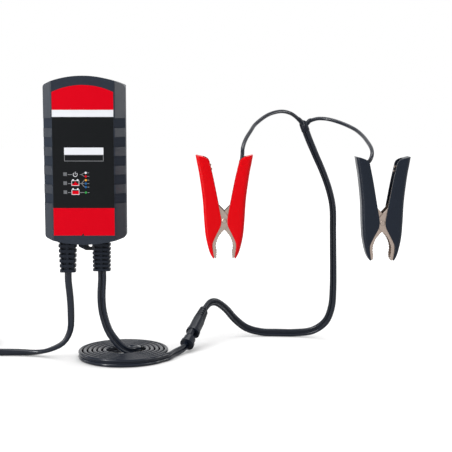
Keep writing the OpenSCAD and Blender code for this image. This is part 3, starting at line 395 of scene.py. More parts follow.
def joined(shells):
    """Joins shells of points and faces into one."""
    points, faces, start = [], [], 0
    for shell_points, shell_faces in shells:
        points.append(np.asarray(shell_points, float))
        faces += [[start + k for k in face] for face in shell_faces]
        start += len(shell_points)
    return np.concatenate(points), faces


def walls(rows, columns, closed=False):
    """Quads of a grid whose columns close on themselves, and whose rows do too where closed is set."""
    row, column = np.meshgrid(np.arange(rows - (not closed)), np.arange(columns), indexing="ij")
    below, after = (row + 1) % rows, (column + 1) % columns
    quads = [row * columns + column, row * columns + after, below * columns + after,
             below * columns + column]
    return np.stack(quads, -1).reshape(-1, 4).tolist()


def loft(rings):
    """Joins rings of points (rows, columns, 3) into a closed tube with flat ends."""
    rows, columns = rings.shape[:2]
    ends = [list(range(columns))[::-1], list(range((rows - 1) * columns, rows * columns))]
    return rings.reshape(-1, 3), walls(rows, columns) + ends


def unit(rows):
    """Vectors scaled to a length of 1."""
    return rows / np.linalg.norm(rows, axis=-1, keepdims=True)


def sweep(path, thins, section):
    """Carries a flat section, or one for each point, along a path: its second axis follows the point's
    thin direction, or one for the whole path, made square to the path, and its first the cross product
    of the two."""
    along = unit(np.gradient(path, axis=0))
    thin = unit(thins - np.sum(thins * along, axis=1, keepdims=True) * along)
    wide = np.cross(thin, along)
    return loft(path[:, None] + wide[:, None] * section[..., :1] + thin[:, None] * section[..., 1:])


def tapered(path, thins, section, sizes):
    """A section swept along a path and scaled by each point's size."""
    return sweep(path, thins, section[None] * np.asarray(sizes, float)[:, None, None])


def revolve(profile, count=28):
    """Turns a profile of radius and y about the y axis."""
    profile = np.asarray(profile, float)
    angle = np.linspace(0, 2 * np.pi, count, endpoint=False)
    rings = np.stack([profile[:, :1] * np.cos(angle), profile[:, 1:] + 0 * angle,
                      profile[:, :1] * np.sin(angle)], -1)
    return loft(rings)


def spline(points, steps):
    """Catmull-Rom curve through rows of numbers, with so many steps between two of them."""
    p = np.asarray(points, float)
    padded = np.concatenate([p[:1], p, p[-1:]])
    t = (np.arange(steps) / steps)[None, :, None]
    a, b, c, d = (padded[i:len(p) - 1 + i, None] for i in range(4))
    curve = 0.5 * (2 * b + (c - a) * t + (2 * a - 5 * b + 4 * c - d) * t ** 2
                   + (3 * b - a - 3 * c + d) * t ** 3)
    return np.concatenate([curve.reshape(-1, p.shape[1]), p[-1:]])


def prism(outline, y0, y1):
    """A flat outline in x and z, given thickness from y0 to y1."""
    outline = np.asarray(outline, float)
    return loft(np.stack([np.stack([outline[:, 0], np.full(len(outline), y), outline[:, 1]], -1)
                          for y in (y0, y1)]))


def arc(centre, radius, start, end, count):
    """Points of a circle's arc between two angles in degrees."""
    angle = np.radians(np.linspace(start, end, count))
    return np.stack([centre[0] + radius * np.cos(angle), centre[1] + radius * np.sin(angle)], -1)


def disc(centre, radius, count):
    """Points all the way round a circle."""
    return arc(centre, radius, 0, 360 - 360 / count, count)


# ---------- Case ----------

FRONT_LOW, FRONT_HIGH = box("front_cover")
FACE_Y = FRONT_LOW[1]
CASE_HALF = FRONT_HIGH[0]
FACE_HALF, BEVEL_DEPTH = 24.3, 8.0
RECESS_COUNT, RECESS_PITCH, RECESS_HEIGHT, RECESS_LOW, RECESS_DEPTH = 5, 14.4, 7.6, 40.5, 0.9
# A face belongs to a recess between these shares of its depth, and within this of its height
RECESS_SHARES, RECESS_SPARE = (0.3, 1.4), 0.01
# Half width of the reliefs' web as it is, what comes off it, and how near it a point has to be
POCKET_FROM, POCKET_CARVE, POCKET_SPARE = 1.6, 0.7, 0.02


def put_case():
    """Both covers with softened edges, and the coarse texture in the grip recesses."""
    edge = settings("case").edge
    front = soft_copy("front_cover", "front_shell", edge)
    soft_copy("rear_cover", "rear_shell", edge)
    front.data.materials.append(material("grip_recess"))
    centres = vectors(front.data.polygons, "center") / MM
    across = np.abs(centres[:, 0]) - FACE_HALF
    slope = CASE_HALF - FACE_HALF
    depth = ((centres[:, 1] - FACE_Y) * slope - across * BEVEL_DEPTH) / math.hypot(slope, BEVEL_DEPTH)
    level = (centres[:, 2] - RECESS_LOW) / RECESS_PITCH
    row = np.clip(np.round(level), 0, RECESS_COUNT - 1)
    inside = np.abs(level - row) * RECESS_PITCH <= RECESS_HEIGHT / 2 + RECESS_SPARE
    least, most = (share * RECESS_DEPTH for share in RECESS_SHARES)
    recessed = inside & (depth > least) & (depth < most) & (across > 0)
    front.data.polygons.foreach_set("material_index", recessed.astype(np.int32))


def put_reliefs():
    """Both ribbed strain reliefs with rounded ribs; the pockets between the ribs are carved further in,
    up to a narrow web in the middle."""
    for node, name in (("mains_strain_relief", "mains_relief_boot"),
                       ("output_strain_relief", "output_relief_boot")):
        boot = soft_copy(node, name, settings("case").relief_edge)
        points = vectors(boot.data.vertices, "co")
        side = points[:, 0] - np.mean([corner[0] for corner in box(node)]) * MM
        on_web = np.abs(np.abs(side) - POCKET_FROM * MM) < POCKET_SPARE * MM
        points[on_web, 0] -= np.sign(side[on_web]) * POCKET_CARVE * MM
        boot.data.vertices.foreach_set("co", points.ravel())


INSIDE = ("case_seal", "case_screws", "status_leds", "circuit_board", "board_screws", "mains_wires",
          "output_wires", "fuse", "line_choke", "bridge_rectifier", "input_capacitor",
          "transformer_core", "transformer_winding", "output_capacitors", "heat_sink",
          "power_transistor")


# ---------- Front panel ----------

LABEL_LOW, LABEL_HIGH = box("label_panel")
LABEL_HALF, LABEL_BOTTOM, LABEL_TOP = LABEL_HIGH[0], LABEL_LOW[2], LABEL_HIGH[2]
LABEL_ARCH = 54.0
NOTCH_X, NOTCH_HALF, NOTCH_HEIGHT = -1.0, 0.9, 1.8
UPPER_RED_FROM, WHITE_FROM, LOWER_RED_TO = 108.2, 102.9, 33.2
BOX_LEFT, BOX_RIGHT, BOX_LOW, BOX_MIDDLE, BOX_HIGH = -14.5, 15.5, 69.2, 74.2, 79.6
SIGN_X, DOT_X = -6.3, 1.7
SIGN_LEVELS = (59.0, 52.1, 45.2)
# Signs, about their middle line and level: the charged share of each battery and whether it rises,
# radii, half widths, heights below and above, widths of lines and the gap in the ring in degrees
SIGN_CHARGES = ((0.36, True), (0.8, False))
RING_OUTER, RING_INNER, RING_GAP, RING_BAR, RING_BAR_TOP = 1.75, 1.38, 80, 0.34, 2.2
BATTERY_HALF, BATTERY_BELOW, BATTERY_ABOVE, BATTERY_LINE = 2.95, 1.75, 2.35, 0.34
POST_X, POST_HALF, POST_HEIGHT = 1.75, 0.6, 0.95
RISING_HALF, RISING_HEIGHT = 1.3, 1.9
# Thin lines: from each window to its sign, from a sign to where they part and short of the dots, and
# the dashes past the dots
WINDOW_LINE_FROM, WINDOW_LINE_TO = -12.0, (-8.6, -9.9, -9.9)
SPLIT_FROM, SPLIT_X, SPLIT_SHORT = -2.8, -1.6, 1.1
DASH_FROM, DASH_TO = 1.2, 2.6
INK_ROOT, DOT_RADIUS = 0.01, 0.85
DOTS = ((60.3, "white_ink"), (57.6, "red_ink"), (54.7, "amber_ink"), (52.1, "blue_ink"),
        (49.4, "blue_ink"), (45.2, "green_ink"))


def oblong(x0, z0, x1, z1):
    """The four corners of a rectangle in x and z."""
    return np.array([[x0, z0], [x1, z0], [x1, z1], [x0, z1]], float)


def bar(x0, z0, x1, z1, width):
    """A straight line of a width between two points."""
    start, end = np.array([x0, z0], float), np.array([x1, z1], float)
    side = unit(end - start)[::-1] * [-1, 1] * width / 2
    return np.array([start - side, end - side, end + side, start + side])


def border(x0, z0, x1, z1, line):
    """The four bars of a rectangular outline."""
    return [oblong(x0, z0, x1, z0 + line), oblong(x0, z1 - line, x1, z1),
            oblong(x0, z0 + line, x0 + line, z1 - line), oblong(x1 - line, z0 + line, x1, z1 - line)]


def upper_block():
    """Red block under the panel's arched top."""
    half_angle = math.degrees(math.asin(LABEL_HALF / LABEL_ARCH))
    top = arc((0, LABEL_TOP - LABEL_ARCH), LABEL_ARCH, 90 - half_angle, 90 + half_angle, 33)
    return np.concatenate([[[LABEL_HALF, UPPER_RED_FROM]], top, [[-LABEL_HALF, UPPER_RED_FROM]]])


def lower_block():
    """Red block at the panel's bottom, with the notch in its lower edge."""
    return np.array([
        [-LABEL_HALF, LABEL_BOTTOM], [NOTCH_X - NOTCH_HALF, LABEL_BOTTOM],
        [NOTCH_X, LABEL_BOTTOM + NOTCH_HEIGHT], [NOTCH_X + NOTCH_HALF, LABEL_BOTTOM],
        [LABEL_HALF, LABEL_BOTTOM], [LABEL_HALF, LOWER_RED_TO], [-LABEL_HALF, LOWER_RED_TO]])


def battery_sign(z, charge, rising):
    """A battery seen from the side: its outline and posts in white and its charge in red, with a
    triangle on it while the charge is rising."""
    low, high, line = z - BATTERY_BELOW, z + BATTERY_ABOVE, BATTERY_LINE
    left, right = SIGN_X - BATTERY_HALF, SIGN_X + BATTERY_HALF
    white = border(left, low, right, high, line)
    white += [oblong(x - POST_HALF, high, x + POST_HALF, high + POST_HEIGHT)
              for x in (SIGN_X - POST_X, SIGN_X + POST_X)]
    level = low + line + charge * (high - low - 2 * line)
    red = [oblong(left + line, low + line, right - line, level)]
    if rising:
        red.append(np.array([[SIGN_X - RISING_HALF, level], [SIGN_X + RISING_HALF, level],
                             [SIGN_X, level + RISING_HEIGHT]]))
    return white, red


def power_sign(z):
    """A ring open at the top, with a bar in the gap."""
    first, last = 90 + RING_GAP / 2, 450 - RING_GAP / 2
    ring = np.concatenate([arc((SIGN_X, z), RING_OUTER, first, last, 25),
                           arc((SIGN_X, z), RING_INNER, last, first, 25)])
    return [ring, oblong(SIGN_X - RING_BAR / 2, z, SIGN_X + RING_BAR / 2, z + RING_BAR_TOP)]


def sign_lines(line):
    """Lines from the windows to the signs, forks from the signs to the dots, and dashes after them."""
    upper, middle, lower = SIGN_LEVELS
    heights = [z for z, _ in DOTS]
    tip = DOT_X - SPLIT_SHORT
    lines = [bar(WINDOW_LINE_FROM, z, end, z, line) for z, end in zip(SIGN_LEVELS, WINDOW_LINE_TO)]
    for z, ends in ((upper, heights[:2]), (middle, heights[2:5:2])):
        lines.append(bar(SPLIT_FROM, z, SPLIT_X, z, line))
        lines += [bar(SPLIT_X, z, tip, end, line) for end in ends]
    lines += [bar(SPLIT_X, middle, tip, middle, line), bar(SPLIT_FROM, lower, tip, lower, line)]
    lines += [bar(DOT_X + DASH_FROM, z, DOT_X + DASH_TO, z, line) for z in heights]
    return lines


def put_panel():
    """The film and every printed area on it, one piece for each ink."""
    keep_solid("label_panel", "led_windows")
    case = settings("case")
    line = case.line / MM
    inks = {"red_ink": [upper_block(), lower_block()],
            "white_ink": [oblong(-LABEL_HALF, WHITE_FROM, LABEL_HALF, UPPER_RED_FROM),
                          oblong(BOX_LEFT, BOX_MIDDLE, BOX_RIGHT, BOX_HIGH)],
            "grey_ink": border(BOX_LEFT, BOX_LOW, BOX_RIGHT, BOX_MIDDLE, line) + sign_lines(line)}
    inks["white_ink"] += power_sign(SIGN_LEVELS[0])
    for z, (charge, rising) in zip(SIGN_LEVELS[1:], SIGN_CHARGES):
        outline, filled = battery_sign(z, charge, rising)
        inks["white_ink"] += outline
        inks["red_ink"] += filled
    for z, key in DOTS:
        inks.setdefault(key, []).append(disc((DOT_X, z), DOT_RADIUS, 24))
    for key, outlines in inks.items():
        shell = joined([prism(outline, FACE_Y - case.ink / MM, FACE_Y + INK_ROOT) for outline in outlines])
        put_mesh(f"panel_{key}", shell, key, "charger")


# ---------- Leads ----------

# Routes: x, y, z and the level heading of the thin side; MAINS_ROUTE's rows end with the lead's roll
MAINS_ROUTE = [
    [-15, -22.5, -15.0, 90, 0], [-15, -22.5, -18.4, 90, 0], [-15, -22.5, -26, 90, 0],
    [-13.8, -22.5, -39, 90, 4], [-13.4, -22.1, -53, 90, 16], [-14.4, -21.1, -65.4, 90, 42],
    [-20.2, -18.9, -76, 92, 72], [-31.6, -14.5, -82.6, 100, 92], [-43.5, -10.5, -85.8, 106, 124],
    [-58, -8.7, -86.1, 98, 160], [-76, -8.5, -86.1, 92, 180], [-98, -10.1, -85.8, 86, 180]]
TAIL_ROUTE = [
    [-105.5, -14.5, -79.4, -30], [-111, -24.5, -81.2, -30], [-115.5, -28.5, -82, -30],
    [-119, -34.5, -82.1, -30], [-120, -36.232, -82.1, -30]]
DROP_ROUTE = [
    [11.6, -22.5, -14.0, 90], [11.6, -22.5, -17.4, 90], [11.6, -22.5, -25, 90],
    [10.9, -22.5, -38, 90], [11.9, -22.5, -51, 90], [16, -22.9, -64.6, 92], [21.9, -23.4, -73.6, 102],
    [27.8, -23.4, -79.6, 116], [33.2, -20.8, -82.3, 134]]
RUN_ROUTE = [
    [67.6, -13.7, -85.65, 157], [71.4, -6.6, -85.3, 158], [74.7, -0.4, -84.55, 159],
    [77, 5, -83, 160], [77.601, 6.652, -82.046, 160]]
CLIP_ROUTE = [
    [95, 52.5, -57.5, 155], [101, 58.5, -58, 138], [109, 62.5, -64.5, 120], [117, 64.5, -74, 105],
    [127, 65, -81.8, 95], [140, 64.5, -85.3, 90], [154, 63.5, -85.6, 86], [169, 62.5, -85.5, 80],
    [184, 59.5, -83, 72], [195, 54.5, -74, 62], [199.6, 49.5, -60, 54], [200.4, 46.5, -44, 48],
    [200.2, 44.5, -27, 44], [199.8, 43.5, -10, 42], [199.5, 43.5, 7, 42], [199, 43.5, 26, 42],
    [195.8, 43.5, 41, 42], [190.4, 43.5, 56, 44], [184.4, 43.5, 69.5, 48], [178.8, 43.5, 82.5, 54],
    [175.4, 43.5, 91.4, 60]]
RED_ROUTE = [
    [169.4, 41.5, 100.2, 90], [163, 38.5, 104.8, 90], [154, 30.5, 106.6, 90], [143, 18.5, 103.8, 90],
    [133, 3.5, 97, 90], [128.3, -12, 91.3, 90], [124.4, -24, 85.6, 90], [122, -35, 79.6, 90],
    [121.5, -40.4, 73.8, 90]]
BLACK_ROUTE = [
    [179.8, 42.5, 99, 90], [186, 41.1, 100.6, 90], [194.5, 37.5, 100, 90], [204.5, 30.5, 96.9, 90],
    [213.4, 18.5, 92.4, 90], [217.9, 3.5, 87.8, 90], [220, -12, 83.4, 90], [221.2, -26, 79, 90],
    [220.8, -35.5, 74.8, 90], [218.8, -40.8, 70.6, 90]]
COIL_STEP = 15.0  # Degrees from one point of a coil to the next

# Mains coil: middle, lower layer's height and the climb to the upper one, turns in a layer, the radius'
# step and mean, where it starts, what its last turn lacks and over what angle it climbs, in degrees,
# and its straight ends in widths of the cord
MAINS_CENTRE = (-128.0, 25.5)
MAINS_COIL_Z, MAINS_CLIMB = -85.2, 6.3
MAINS_TURNS, MAINS_PITCH, MAINS_MIDDLE = 4, 4.3, 29.7
MAINS_START, MAINS_SHORT, CLIMB_OVER = -90.0, 60.0, 180.0
MAINS_RUN_IN, MAINS_RUN_OUT = 1.4, 1.2

# Output coil: middle, turns, the radius' step and start, its first and last angle, and how far its start
# is tucked in and raised, each until so many degrees on
OUTPUT_CENTRE = (27.7, -11.5)
OUTPUT_TURNS, OUTPUT_PITCH, OUTPUT_INNER = 6, 3.8, 14.2
OUTPUT_START, OUTPUT_END = -30.0, -24.0
OUTPUT_TUCK, TUCK_SETTLE = 3.6, 340.0
OUTPUT_LIFT, LIFT_SETTLE = 3.0, 150.0
COIL_GAP = 0.02  # Over the lowest point of the coil's solid

SLIDE = np.array(JOINTS["connector_slide"]["axis"])
CONNECTOR_PLACE = np.array([77.0, 5.0, -83.0])
CONNECTOR_LENGTH, RUN_HEADING = 45.2, 160.0
LEAD_IN = 3.0  # The clip lead's way inside its connector half


def route(rows):
    """Points and thin directions of a list of x, y, z and heading, and of the roll about the path where
    it is given: the thin direction turns by it from level towards the path's cross product with level."""
    rows = np.asarray(rows, float)
    points, angle = rows[:, :3], np.radians(rows[:, 3])
    thins = np.stack([np.cos(angle), np.sin(angle), 0 * angle], -1)
    if rows.shape[1] > 4:
        roll = np.radians(rows[:, 4:])
        across = np.cross(unit(np.gradient(points, axis=0)), thins)
        thins = np.cos(roll) * thins + np.sin(roll) * across
    return np.concatenate([points, thins], 1)


def level_coil(points):
    """A coil's points with the level direction across each step as their thin direction."""
    step = np.gradient(points, axis=0)
    across = unit(np.stack([-step[:, 1], step[:, 0], 0 * step[:, 0]], -1))
    return np.concatenate([points, across], -1)


def circle_points(centre, radius, angle, height):
    """Points about a centre at radii, angles in degrees and heights."""
    angle = np.radians(angle)
    return np.stack([centre[0] + radius * np.cos(angle), centre[1] + radius * np.sin(angle), height], -1)


def mains_coil(width):
    """Two layers of turns: the radius shrinks by a pitch a turn along the lower layer and grows along
    the upper one, and the cord climbs between them in a smooth step round the reversal."""
    t = np.arange(0, 2 * MAINS_TURNS * 360 - MAINS_SHORT + 1, COIL_STEP)
    radius = MAINS_MIDDLE + MAINS_PITCH * (np.abs(t / 360 - MAINS_TURNS) - MAINS_TURNS / 2)
    climb = np.clip((t - MAINS_TURNS * 360 + CLIMB_OVER / 2) / CLIMB_OVER, 0, 1)
    height = MAINS_COIL_Z + MAINS_CLIMB * climb ** 2 * (3 - 2 * climb)
    loop = circle_points(MAINS_CENTRE, radius, MAINS_START - t, height)
    start = loop[:1] + [MAINS_RUN_IN * width, 0, 0]
    end = loop[-1:] + unit(loop[-1:] - loop[-2:-1]) * MAINS_RUN_OUT * width
    return level_coil(np.concatenate([start, loop, end]))


def output_coil(width):
    """A flat spiral whose radius grows by a pitch a turn; its start is tucked in and a little raised,
    and settles with the square of the way that is left of either."""
    t = np.arange(0, 360 * OUTPUT_TURNS + OUTPUT_END - OUTPUT_START + 1, COIL_STEP)
    tuck, lift = (size * np.clip(1 - t / settle, 0, 1) ** 2
                  for size, settle in ((OUTPUT_TUCK, TUCK_SETTLE), (OUTPUT_LIFT, LIFT_SETTLE)))
    radius = OUTPUT_INNER + OUTPUT_PITCH * t / 360 - tuck
    height = box("output_coil")[0][2] + COIL_GAP + width / 2 + lift
    loop = circle_points(OUTPUT_CENTRE, radius, OUTPUT_START + t, height)
    end = loop[-1:] + unit(loop[-1:] - loop[-2:-1]) * width
    return level_coil(np.concatenate([loop, end]))


def flat_section(width, thickness, count=20):
    """Flat or round cord: half circles joined by straight faces."""
    angle = np.linspace(0, 2 * np.pi, count, endpoint=False) + np.pi / count
    shift = (width - thickness) / 2 * np.sign(np.cos(angle))
    return np.stack([thickness / 2 * np.cos(angle) + shift, thickness / 2 * np.sin(angle)], -1)


def twin_section(width, thickness, neck, count=18):
    """Twin cord: two round lobes, each drawn from minus to plus the neck angle, that meet in a web."""
    lobe = np.radians(np.linspace(-neck, neck, count))
    x = (width - thickness) / 2 + thickness / 2 * np.cos(lobe)
    y = thickness / 2 * np.sin(lobe)
    return np.concatenate([np.stack([x, y], -1), np.stack([-x, -y], -1)])


def put_lead(name, stretches, section, body, replaces, steps=3):
    """Carries a section along a curve through the stretches of a route and puts it on its body in place of the
    solids it replaces.
    """
    rows = np.concatenate(stretches)
    against = np.sum(rows[1:, 3:] * rows[:-1, 3:], axis=1) < 0
    rows[1:, 3:] *= np.cumprod(np.where(against, -1.0, 1.0))[:, None]
    curve = spline(rows, steps)
    path = curve[:, :3]
    piece = put_mesh(name, sweep(path, curve[:, 3:], section), "cord_black", body, angle=70,
                     replaces=replaces)
    return piece


def put_mains_lead():
    """Mains lead: down from its strain relief, off along the floor, put away in a tied coil."""
    leads = settings("leads")
    width = leads.mains_width / MM
    put_lead("mains_lead", [route(MAINS_ROUTE), mains_coil(width), route(TAIL_ROUTE)],
             flat_section(width, leads.mains_thickness / MM),
             body="charger",
             replaces=("mains_cord", "mains_coil", "mains_tail"))


def put_output_lead():
    """Output lead: down to the floor, six turns on edge, and on to the connector."""
    leads = settings("leads")
    width = leads.twin_width / MM
    put_lead("output_lead", [route(DROP_ROUTE), output_coil(width), route(RUN_ROUTE)],
             twin_section(width, leads.twin_thickness / MM, leads.neck),
             body="charger",
             replaces=("output_cord_drop", "output_coil", "output_cord_run"))


def put_clip_leads():
    """Twin lead from the connector up to the fork, and the single leads from there to the clips."""
    leads = settings("leads")
    start = CONNECTOR_PLACE + SLIDE * CONNECTOR_LENGTH
    first = route([[*(start + SLIDE * way), RUN_HEADING] for way in (-LEAD_IN, 0)])
    section = twin_section(leads.twin_width / MM, leads.twin_thickness / MM, leads.neck)
    put_lead("clip_twin_lead", [first, route(CLIP_ROUTE)], section,
             body="clip lead", replaces=("clip_lead",),
             steps=5)
    single = flat_section(leads.single / MM, leads.single / MM, 16)
    for clip, rows in (("red", RED_ROUTE), ("black", BLACK_ROUTE)):
        put_lead(f"{clip}_single_lead", [route(rows), branch_end(clip)], single,
                 body="clip lead",
                 replaces=(f"{clip}_branch",), steps=5)


# ---------- Plug, tie, connector and fork ----------

PLUG_EDGE, CONNECTOR_EDGE = 0.6, 0.35
# Strap, and its loose end: where it starts, how much narrower it is and how deep it lies in the strap
STRAP_THICK, STRAP_CORNER, STRAP_SLACK = 0.8, 2.4, 0.2
STRAP_END_FROM, STRAP_END_NARROWER, STRAP_END_SUNK = -2.0, 0.3, 0.05
# The loose end's way out from the strap's far side and up from its top
STRAP_END = ((-3.0, 0.0), (0.6, -0.1), (2.2, -1.2), (2.9, -3.0))
FORK_WIDTH, FORK_THICKNESS, COLLAR = 7.2, 3.8, 3.8
# A collar's size at its root, near its end and at its end, and its way past its lead's first point
COLLAR_SIZES, COLLAR_OVER = (1.1, 0.94, 0.84), 0.8
# Ways past the twin lead's end, and the sleeve's size there
FORK_PROFILE = ((-1.5, 0.84), (-1.35, 0.94), (-1.0, 1.0), (2.5, 1.0), (5.0, 0.96), (6.6, 0.84),
                (7.4, 0.66), (7.8, 0.45), (7.95, 0.2))


def put_plug():
    """Moulded plug with softened edges, its bare pins, and the strap round the coil."""
    soft_copy("plug_body", "plug_shell", PLUG_EDGE * MM)
    keep_solid("plug_pins")
    low, high = box("cord_tie")
    put_mesh("cord_tie_strap", tie_strap_shell(low, high), "tie_strap", "charger", angle=50,
             replaces=("cord_tie",))


def rounded_rectangle(low, high, radius, steps=8):
    """Corner by corner round a rectangle: quarter circles of one radius."""
    corners = [((high[0] - radius, high[1] - radius), 0), ((low[0] + radius, high[1] - radius), 90),
               ((low[0] + radius, low[1] + radius), 180), ((high[0] - radius, low[1] + radius), 270)]
    return np.concatenate([arc(centre, radius, start, start + 90, steps) for centre, start in corners])


def strap(outer, inner, x0, x1):
    """A band between two closed lines of y and z, from x0 to x1, closed round its whole way."""
    corners = [(x0, outer), (x1, outer), (x1, inner), (x0, inner)]
    rings = np.stack([np.concatenate([np.full((len(line), 1), x), line], 1) for x, line in corners], 1)
    return rings.reshape(-1, 3), walls(len(outer), 4, closed=True)


def tie_strap_shell(low, high):
    """A strap drawn snug round the turns, as a band between two rounded rectangles, with its loose end
    laid over the top and carried along a curve out past them."""
    thick, corner = STRAP_THICK, STRAP_CORNER
    cord = settings("leads").mains_thickness / MM
    reach = MAINS_PITCH * (MAINS_TURNS - 1) / 2 + cord / 2 + STRAP_SLACK
    middle = MAINS_CENTRE[1] + MAINS_MIDDLE
    near, far = np.array([middle - reach, low[2] + thick]), np.array([middle + reach, high[2] - thick])
    inner = rounded_rectangle(near, far, corner)
    outer = rounded_rectangle(near - thick, far + thick, corner + thick)
    over = high[2] + thick / 2 - STRAP_END_SUNK
    line = spline([[middle + STRAP_END_FROM, over],
                   *([far[0] + out, over + up] for out, up in STRAP_END)], 4)
    path = np.insert(line, 0, (low[0] + high[0]) / 2, axis=1)
    half = (high[0] - low[0]) / 2 - STRAP_END_NARROWER
    end = sweep(path, X_AXIS, oblong(-thick / 2, -half, thick / 2, half))
    return joined([strap(outer, inner, low[0], high[0]), end])


def put_connector():
    """Both halves of the in-line connector and the moulded fork, with softened edges."""
    soft_copy("charger_connector", "connector_socket_half", CONNECTOR_EDGE * MM)
    soft_copy("clip_connector", "connector_plug_half", CONNECTOR_EDGE * MM)
    keep_solid("charger_contacts", "clip_contacts")
    put_mesh("lead_fork", fork_shell(), "connector_black", "clip lead", angle=60, replaces=("y_joint",))


def fork_shell():
    """Moulding where the twin lead parts: an oval sleeve round its end and a round collar for each lead,
    each a section carried along its path and scaled from point to point."""
    end, before = np.array(CLIP_ROUTE[-1][:3]), np.array(CLIP_ROUTE[-2][:3])
    along = unit(end - before)
    way, sizes = np.transpose(FORK_PROFILE)
    heading = math.radians(CLIP_ROUTE[-1][3])
    thin = np.array([math.cos(heading), math.sin(heading), 0])
    sleeve, ring = flat_section(FORK_WIDTH, FORK_THICKNESS, 28), flat_section(COLLAR, COLLAR, 20)
    shells = [tapered(end + along * way[:, None], thin, sleeve, sizes)]
    for rows in (RED_ROUTE, BLACK_ROUTE):
        first, second = np.array(rows[0][:3]), np.array(rows[1][:3])
        lead_way = unit(second - first)
        root = end + along * (along @ (first - end)) / 2
        curve = spline([root, (root + first - lead_way) / 2, first - lead_way,
                        first + lead_way * COLLAR_OVER], 6)
        sizes = np.interp(np.arange(len(curve)), [0, len(curve) - 3, len(curve) - 1], COLLAR_SIZES)
        shells.append(tapered(curve, Y_AXIS, ring, sizes))
    return joined(shells)


# ---------- Clips ----------
# A half is worked out as the right-hand one, with its pivot at the origin and its handle up.

COVER_OUTER = [
    [21.8, 49.8], [20.6, 43.5], [18.9, 34.5], [16.5, 16.5], [15.4, 0], [14.2, -12.2],
    [11.4, -23.6], [8.6, -28.8]]
COVER_INNER = [
    [7.7, -28.4], [8.3, -25], [8.9, -20], [8.5, -16.2], [6.0, -10.6], [2.8, -4], [2.3, 0], [2.6, 3.4],
    [4.6, 13.5], [7.9, 30], [10.8, 42.5], [11.6, 45.4], [13.0, 47.2], [15.4, 48.4], [18.4, 49.1],
    [21.3, 49.75]]
STEEL_INNER = [
    [6.0, -27.6], [6.3, -24.2], [6.8, -20.6], [6.3, -16.6], [4.2, -11.4], [0.4, -7.2], [-2.4, -4.2],
    [-3.6, -0.5], [-2.9, 3.4], [0.3, 7.4], [5.6, 13.4], [7.6, 20], [10.4, 32], [13, 43]]
# Half depth of a cover, and how far inside it the moving half's steel plates lie
CLIP_DEPTH, PLATE_INSET = 8.2, 1.6
# Thickness of the steel, gaps between the halves' plates and to the cover, and the web's hold in a plate
STEEL, STEEL_GAP, COVER_PLAY, WEB_ROOT = 1.0, 0.2, 0.1, 0.1
OUTER_PLATE = CLIP_DEPTH - PLATE_INSET
INNER_PLATE = OUTER_PLATE - STEEL - STEEL_GAP

# The cover's heights: close together where it is rounded off, even between
COVER_HEIGHTS = np.concatenate([
    [-28.7, -28.5, -28.2], np.linspace(-27.6, 45.6, 72),
    [46.1, 46.5, 46.6, 47.0, 47.5, 48.0, 48.4, 48.7, 49.0, 49.3, 49.55, 49.7]])
# The hollow's top, how far back it reaches over that, and the least depths that keep a U open
COVER_CEILING, COVER_MOUTH_X, BACK_LEAST, HOLLOW_LEAST = 46.55, 16.2, 0.2, 0.1
# A U's side: its least length, the most of it that its corner takes, and how far along its points go
SIDE_LEAST, CORNER_MOST, SIDE_SHARE = 0.02, 0.98, 0.85
# Heights past which the cover thins towards its ends, by how much and over what way
TOP_FROM, TOP_THINNER, TIP_FROM, TIP_THINNER, THINNING_OVER = 46.0, 0.6, -25.0, 1.0, 3.7
COVER_EDGE, STEEL_EDGE = 0.35, 0.12

CRIMP_FOOT, CRIMP_MOUTH = np.array([11.2, 35.8]), np.array([12.9, 43.6])
CRIMP_INNER, CRIMP_OUTER, LEAD_IN_CRIMP = 1.5, 2.0, 5.0
RIB = np.array([CRIMP_FOOT - [0.9, 0], [17.4, 38.5], [18.6, 44.5], CRIMP_MOUTH + [0.4, 0]])
RIB_HALF = 1.1
# Empty wings: their ways below the crimp's mouth, and the sizes of the curl and of the stem
WINGS, WING_ASIDE, WING_RADIUS, WING_HALF = (1.4, 4.6), 2.0, 0.85, 1.2
WING_STEM, STEM_THICK_HALF, STEM_HALF = 2.4, 0.45, 0.8
TEETH_FROM, TEETH_TO = -26.0, -9.0

SPRING_RADIUS, SPRING_WIRE, SPRING_TURNS, SPRING_GAP = 2.8, 0.6, 3, 0.45
# The far end of a spring's leg, the share of it that is laid before the helix, and the helix's step in
# degrees
SPRING_LEG, LEG_SHARE, SPRING_STEP = np.array([13.4, 20.0]), 0.96, 12

# Pivot, side of the half that carries the lead, and each half's turn from the drawn pose
CLIPS = {"red": (np.array(JOINTS["red_clip_hinge"]["pos_m"]) / MM, 1, 0.0),
         "black": (np.array(JOINTS["black_clip_hinge"]["pos_m"]) / MM, -1, 1.3)}


def to_half(points, clip, side):
    """Turns a half about the pivot by its squeeze, mirrors it to its side and puts it in place."""
    pivot, _, squeeze = CLIPS[clip]
    turn = math.radians(squeeze)
    x, y, z = np.moveaxis(np.asarray(points, float), -1, 0)
    return np.stack([side * (x * math.cos(turn) - z * math.sin(turn)), y,
                     x * math.sin(turn) + z * math.cos(turn)], -1) + pivot


def branch_end(clip):
    """The last points of a single lead, in the crimp of the handle that carries it."""
    along = unit(CRIMP_MOUTH - CRIMP_FOOT)
    spots = np.stack([CRIMP_MOUTH, CRIMP_MOUTH - along * LEAD_IN_CRIMP])
    points = to_half(np.insert(spots, 1, 0.0, axis=1), clip, CLIPS[clip][1])
    return route(np.concatenate([points, np.full((2, 1), 90.0)], 1))


def at_height(line, heights):
    """x of a profile at each height."""
    curve = spline(line, 8)
    curve = curve[np.argsort(curve[:, 1])]
    return np.interp(heights, curve[:, 1], curve[:, 0])


